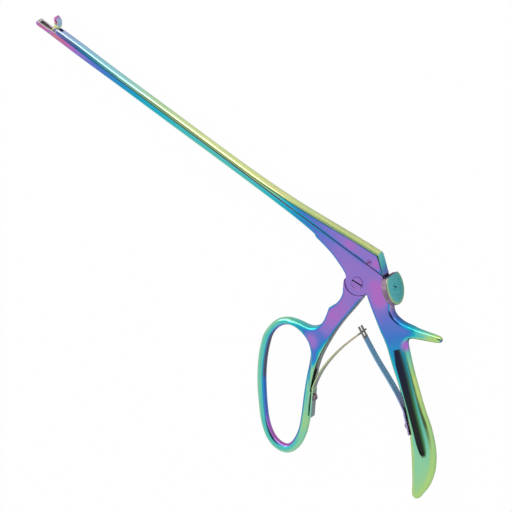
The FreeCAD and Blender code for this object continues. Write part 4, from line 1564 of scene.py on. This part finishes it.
@dataclass
class FrontLeaf(Leaf):
    """The front leaf: foot on the loop, blade, tongue and cross bar."""

    root: Triple = (6.8456, -63.5447, 0.0)
    hook: Triple = (14.2, -22.2, 0.0)
    foot_axis: Triple = (0.41, -0.91, 0.0)
    foot_reaches: tuple[float, ...] = (16.5, 12.0, 8.0, 5.0, 2.0)
    heading: Triple = (0.32, 0.947, 0.0)
    hook_back: float = 0.85
    blade: tuple[Triple, ...] = ((6.2, -56.0, 0.0), (7.0, -46.5, 0.0), (9.5, -35.5, 0.0))
    blend_end: Triple = (6.9, -47.0, 0.0)
    taper: Pair = (-56.0, -23.0)
    tip_width: float = 3.6
    tongue_width: float = 1.1
    tongue: Triple = (-0.4, 1.2, 2.2)
    bar: Pair = (1.7, 2.6)
    film: Stations = ((20.0, 1.0), (32.0, 0.98), (40.0, 0.93), (48.0, 0.9), (60.0, 0.84), (75.0, 0.72))
    grey: Triple = (118, 108, 128)
    grey_amount: float = 0.9
    grey_facing: tuple[Triple, ...] = ((0.9, -0.4, 0.0), (-0.9, 0.4, 0.0))
    grey_depths: Pair = (-100.0, 200.0)
    pale: float = 0.1
    hook_steel: SteelAndShadeBox = SteelAndShadeBox((11.0, -24.2, 0.0), (16.0, -18.0, 8.0), None, (150, 146, 140),
                                    (104, 98, 92))

    def coat(self) -> RainbowCoat:
        """Yellow on the edges and grey on both faces, with a bare hook.

        Returns:
            The finish.
        """
        faces = tuple(Wall(facing, self.grey, self.grey_amount, LOOPWARD, *self.grey_depths)
                      for facing in self.grey_facing)
        return RainbowCoat(
            name="front_leaf_rainbow", run=Run(LOOPWARD, self.film), ceiling=1.0, roughness=self.roughness,
            wander=self.wander, layers=(Pale(self.pale), *faces, self.hook_steel))

    def build(self) -> None:
        """Makes the leaf, swept across its root, and hides the CAD leaf's foot and blade."""
        root, heading = Vector(self.root), Vector(self.heading).normalized()
        foot_axis = Vector(self.foot_axis).normalized()
        shoulder = Vector(self.hook) - heading * self.hook_back
        foot = [tuple(root + foot_axis * reach) for reach in self.foot_reaches]
        path = smooth_path([*foot, tuple(root), *self.blade, tuple(shoulder)], self.steps)
        low, high = self.taper
        widths = [self.width + (self.tip_width - self.width) * max(0.0, min(1.0, (p.y - low) / (high - low)))
                  for p in path]
        tongue = [shoulder + heading * reach for reach in self.tongue]
        bar = [shoulder + heading * reach for reach in self.bar]
        leaf = self.sweep("front_leaf_spring", [
            (path, widths, self.thickness),
            (tongue, [self.tongue_width] * len(tongue), self.thickness - self.inset),
            (bar, [self.tip_width] * len(bar), self.thickness)])
        dressed(leaf, self.coat().build())
        self.in_metres(root + foot_axis * self.blend_lead)
        self.in_metres(Vector(self.blend_end))
        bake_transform(leaf)
        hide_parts("front_leaf_foot", "front_leaf_blade")
        LOG.info("piece %s bends from handle to front_blade", leaf.name)


@dataclass
class RearLeaf(Leaf):
    """The rear leaf: foot on the grip and blade with its fork."""

    root: Triple = (52.9939, -43.2745, 0.0)
    foot_axis: Triple = (0.69, -0.72, 0.0)
    foot_reaches: tuple[float, ...] = (13.4, 9.0, 6.0, 3.0)
    blade: tuple[Triple, ...] = (
        (46.2, -38.9, 0.0), (38.0, -34.7, 0.0), (29.0, -30.4, 0.0), (20.0, -25.5, 0.0), (16.3, -23.3, 0.0))
    blend_end: Triple = (38.0, -34.7, 0.0)
    taper: Pair = (46.2, 14.2)
    narrowing: float = 0.8
    fork: tuple[Triple, ...] = ((17.2, -23.84, 0.0), (14.0, -22.0, 0.0), (11.6, -20.6, 0.0))
    prong_width: float = 1.33
    prong_offset: float = 1.5
    film: Stations = ((10.0, 0.46), (26.0, 0.5), (44.0, 0.5), (50.0, 0.34), (64.0, 0.26))
    pale: float = 0.22
    fork_steel: SteelAndShadeBox = SteelAndShadeBox((8.0, -25.6, 0.0), (17.4, -18.0, 8.0), None, (160, 156, 150),
                                    (112, 106, 100))

    def coat(self) -> RainbowCoat:
        """Blue, with a bare fork.

        Returns:
            The finish.
        """
        return RainbowCoat(
            name="rear_leaf_rainbow", run=Run(X_AXIS, self.film), roughness=self.roughness,
            wander=self.wander, layers=(Pale(self.pale), self.fork_steel))

    def join_fork(self, leaf: bpy.types.Object) -> None:
        """Adds both prongs to the leaf's mesh.

        Args:
            leaf: the leaf without its fork.
        """
        merged = bmesh.new()
        merged.from_mesh(leaf.data)
        path = [Vector(spot) for spot in self.fork]
        strip = [(path, [self.prong_width] * len(path), self.thickness - self.inset)]
        for offset in (self.prong_offset, -self.prong_offset):
            prong = self.sweep("rear_leaf_prong", strip)
            prong.data.transform(Matrix.Translation((0.0, 0.0, offset * MM)))
            merged.from_mesh(prong.data)
            bpy.data.objects.remove(prong)
        merged.to_mesh(leaf.data)
        merged.free()

    def build(self) -> None:
        """Makes the leaf, swept across its root, and hides the CAD leaf's foot and blade."""
        root, foot_axis = Vector(self.root), Vector(self.foot_axis).normalized()
        foot = [tuple(root + foot_axis * reach) for reach in self.foot_reaches]
        path = smooth_path([*foot, tuple(root), *self.blade], self.steps)
        low, high = self.taper
        widths = [self.width - self.narrowing * max(0.0, min(1.0, (low - p.x) / (low - high))) for p in path]
        leaf = self.sweep("rear_leaf_spring", [(path, widths, self.thickness)])
        self.join_fork(leaf)
        dressed(leaf, self.coat().build())
        self.in_metres(root + foot_axis * self.blend_lead)
        self.in_metres(Vector(self.blend_end))
        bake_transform(leaf)
        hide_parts("rear_leaf_foot", "rear_leaf_blade")
        LOG.info("piece %s bends from body to rear_blade", leaf.name)


class Head(Enum):
    """How a slotted screw's head is finished."""

    FLUSH = "coated and flush, with a dark slot"
    DOMED = "worn and domed"


@dataclass(frozen=True)
class Screw:
    """One slotted screw: its CAD node, its head and, for a flush one, its film and its axis."""

    node: str
    head: Head
    film: float = 0.0
    axis: Triple = Z_AXIS
    reach: Pair = (-100.0, 30.0)
    worn_colour: Triple = (156, 136, 150)
    worn_roughness: float = 0.24

    def finish(self) -> RainbowCoat | BareSteel:
        """Picks the finish of the head.

        Returns:
            The finish.
        """
        if self.head is Head.DOMED:
            return BareSteel(f"{self.node}_steel", self.worn_colour, self.worn_roughness)
        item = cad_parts[self.node]
        unit = Vector(self.axis).normalized()
        top = max((item.matrix_world @ v.co).dot(unit) for v in item.data.vertices) / MM
        even = Run(Y_AXIS, tuple((at, self.film) for at in self.reach))
        return RainbowCoat(name=f"{self.node}_rainbow", run=even, layers=(SlotShadow(self.axis, top),))


@dataclass
class Screws:
    """The slotted screws of the pivot, the slide, the disc and the leaves."""

    screws: tuple[Screw, ...] = (
        Screw("main_pivot_screw", Head.FLUSH, 0.27), Screw("drive_screw", Head.FLUSH, 0.22),
        Screw("lock_disc_screw", Head.FLUSH, 0.6, REARWARD), Screw("front_leaf_screw", Head.DOMED),
        Screw("rear_leaf_screw", Head.DOMED))

    def build(self) -> None:
        """Gives each CAD screw its finish."""
        for screw in self.screws:
            dressed(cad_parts[screw.node], screw.finish().build())
            LOG.info("%s is %s", screw.node, screw.head.value)


@dataclass(frozen=True)
class Lamp:
    """One rectangular lamp: the way to it, its two sides in metres and its power in watts."""

    name: str
    towards: Triple
    sides: Pair
    power: float


@dataclass
class Studio:
    """A white sweep under soft lamps, and the camera at the photograph's angle. Distances are metres."""

    target: Triple = (-0.0475, -0.0119, 0.0254)
    right: Triple = (0.7842, 0.4404, -0.4370)
    up: Triple = (-0.5821, 0.7661, -0.2725)
    back: Triple = (0.2148, 0.4681, 0.8572)
    distance: float = 6.0
    lens: float = 843.75
    sensor: float = 36.0
    clip: Pair = (0.05, 50.0)
    floor_side: float = 4.0
    floor_drop: float = 0.0002
    floor_white: float = 0.86
    floor_glow: float = 0.98
    sky_white: float = 0.9
    photographer: Triple = (0.08, 0.08, 0.09)
    photographer_edge: Pair = (0.86, 0.95)
    lamp_focus: Triple = (-0.06, -0.03, 0.0)
    lamp_distance: float = 1.2
    lamps: tuple[Lamp, ...] = (
        Lamp("key_lamp", (-0.8, 0.25, 0.55), (0.7, 0.7), 3.0),
        Lamp("strip_lamp", (-0.25, 0.86, 0.44), (1.4, 0.3), 3.4))

    def build(self) -> None:
        """Makes the floor, the world, the lamps and the camera."""
        bpy.context.scene.view_settings.view_transform = "Standard"
        self.make_floor()
        self.make_sky()
        for lamp in self.lamps:
            self.hang(lamp)
        self.set_camera()

    def make_floor(self) -> None:
        """A wide white floor just under the lowest point."""
        low = min(CAD_BOX[0].z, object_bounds()[0].z) - self.floor_drop
        side = self.floor_side
        corners = np.array([(-side, -side, low), (side, -side, low), (side, side, low), (-side, side, low)])
        ground = mesh_object("white_floor", corners, [(0, 1, 2, 3)])
        material = bpy.data.materials.new("white_paper")
        material.use_nodes = True
        nodes = Nodes(material.node_tree)
        paper = nodes.add("ShaderNodeBsdfDiffuse")
        paper.inputs["Color"].default_value = (*[self.floor_white] * 3, 1.0)
        glow = nodes.add("ShaderNodeEmission")
        glow.inputs["Color"].default_value = (1.0, 1.0, 1.0, 1.0)
        output = nodes.add("ShaderNodeOutputMaterial")
        mix = nodes.for_camera(paper.outputs[0], glow.outputs[0], self.floor_glow)
        nodes.link(mix, output.inputs["Surface"])
        dressed(ground, material)
        ground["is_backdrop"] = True

    def make_sky(self) -> None:
        """A white studio, with a darker patch where a photographer would stand."""
        world = bpy.data.worlds.new("studio")
        bpy.context.scene.world = world
        world.use_nodes = True
        nodes = Nodes(world.node_tree)
        coords = nodes.add("ShaderNodeTexCoord")
        toward = nodes.vector("DOT_PRODUCT", coords.outputs["Generated"], self.back)
        white = (self.sky_white, self.sky_white, self.sky_white)
        room = nodes.add("ShaderNodeBackground")
        stops = tuple(zip(self.photographer_edge, (white, self.photographer)))
        nodes.link(nodes.ramp(toward, stops, raw=True), room.inputs["Color"])
        plain = nodes.add("ShaderNodeBackground")
        plain.inputs["Color"].default_value = (1.0, 1.0, 1.0, 1.0)
        output = nodes.add("ShaderNodeOutputWorld")
        nodes.link(nodes.for_camera(room.outputs[0], plain.outputs[0]), output.inputs["Surface"])

    def hang(self, lamp: Lamp) -> None:
        """Hangs a lamp that the camera doesn't see.

        Args:
            lamp: the lamp's description.
        """
        data = bpy.data.lights.new(lamp.name, "AREA")
        data.shape = "RECTANGLE"
        data.size, data.size_y = lamp.sides
        data.energy = lamp.power
        item = bpy.data.objects.new(lamp.name, data)
        bpy.context.scene.collection.objects.link(item)
        out = Vector(lamp.towards).normalized()
        item.location = Vector(self.lamp_focus) + out * self.lamp_distance
        item.rotation_mode = "QUATERNION"
        item.rotation_quaternion = out.to_track_quat("Z", "Y")
        item.visible_camera = False

    def set_camera(self) -> None:
        """Puts the camera on the photograph's line of sight."""
        data = bpy.data.cameras.new("photo_camera")
        data.lens, data.sensor_width = self.lens, self.sensor
        data.clip_start, data.clip_end = self.clip
        camera = bpy.data.objects.new("photo_camera", data)
        bpy.context.scene.collection.objects.link(camera)
        spot = Vector(self.target) + Vector(self.back) * self.distance
        turn = Matrix((self.right, self.up, self.back)).transposed()
        camera.matrix_world = Matrix.Translation(spot) @ turn.to_4x4()
        bpy.context.scene.camera = camera


def main() -> None:
    """Builds the forceps, then the studio and its camera."""
    for assembly in (FixedBody(), Slide(), RingHandle(), Jaw(), LockDisc(), FrontLeaf(), RearLeaf(),
                     Screws(), Studio()):
        assembly.build()
        LOG.info("%s is built", type(assembly).__name__)


if __name__ == "__main__":
    logging.basicConfig(level=logging.INFO, format="%(message)s")
    main()
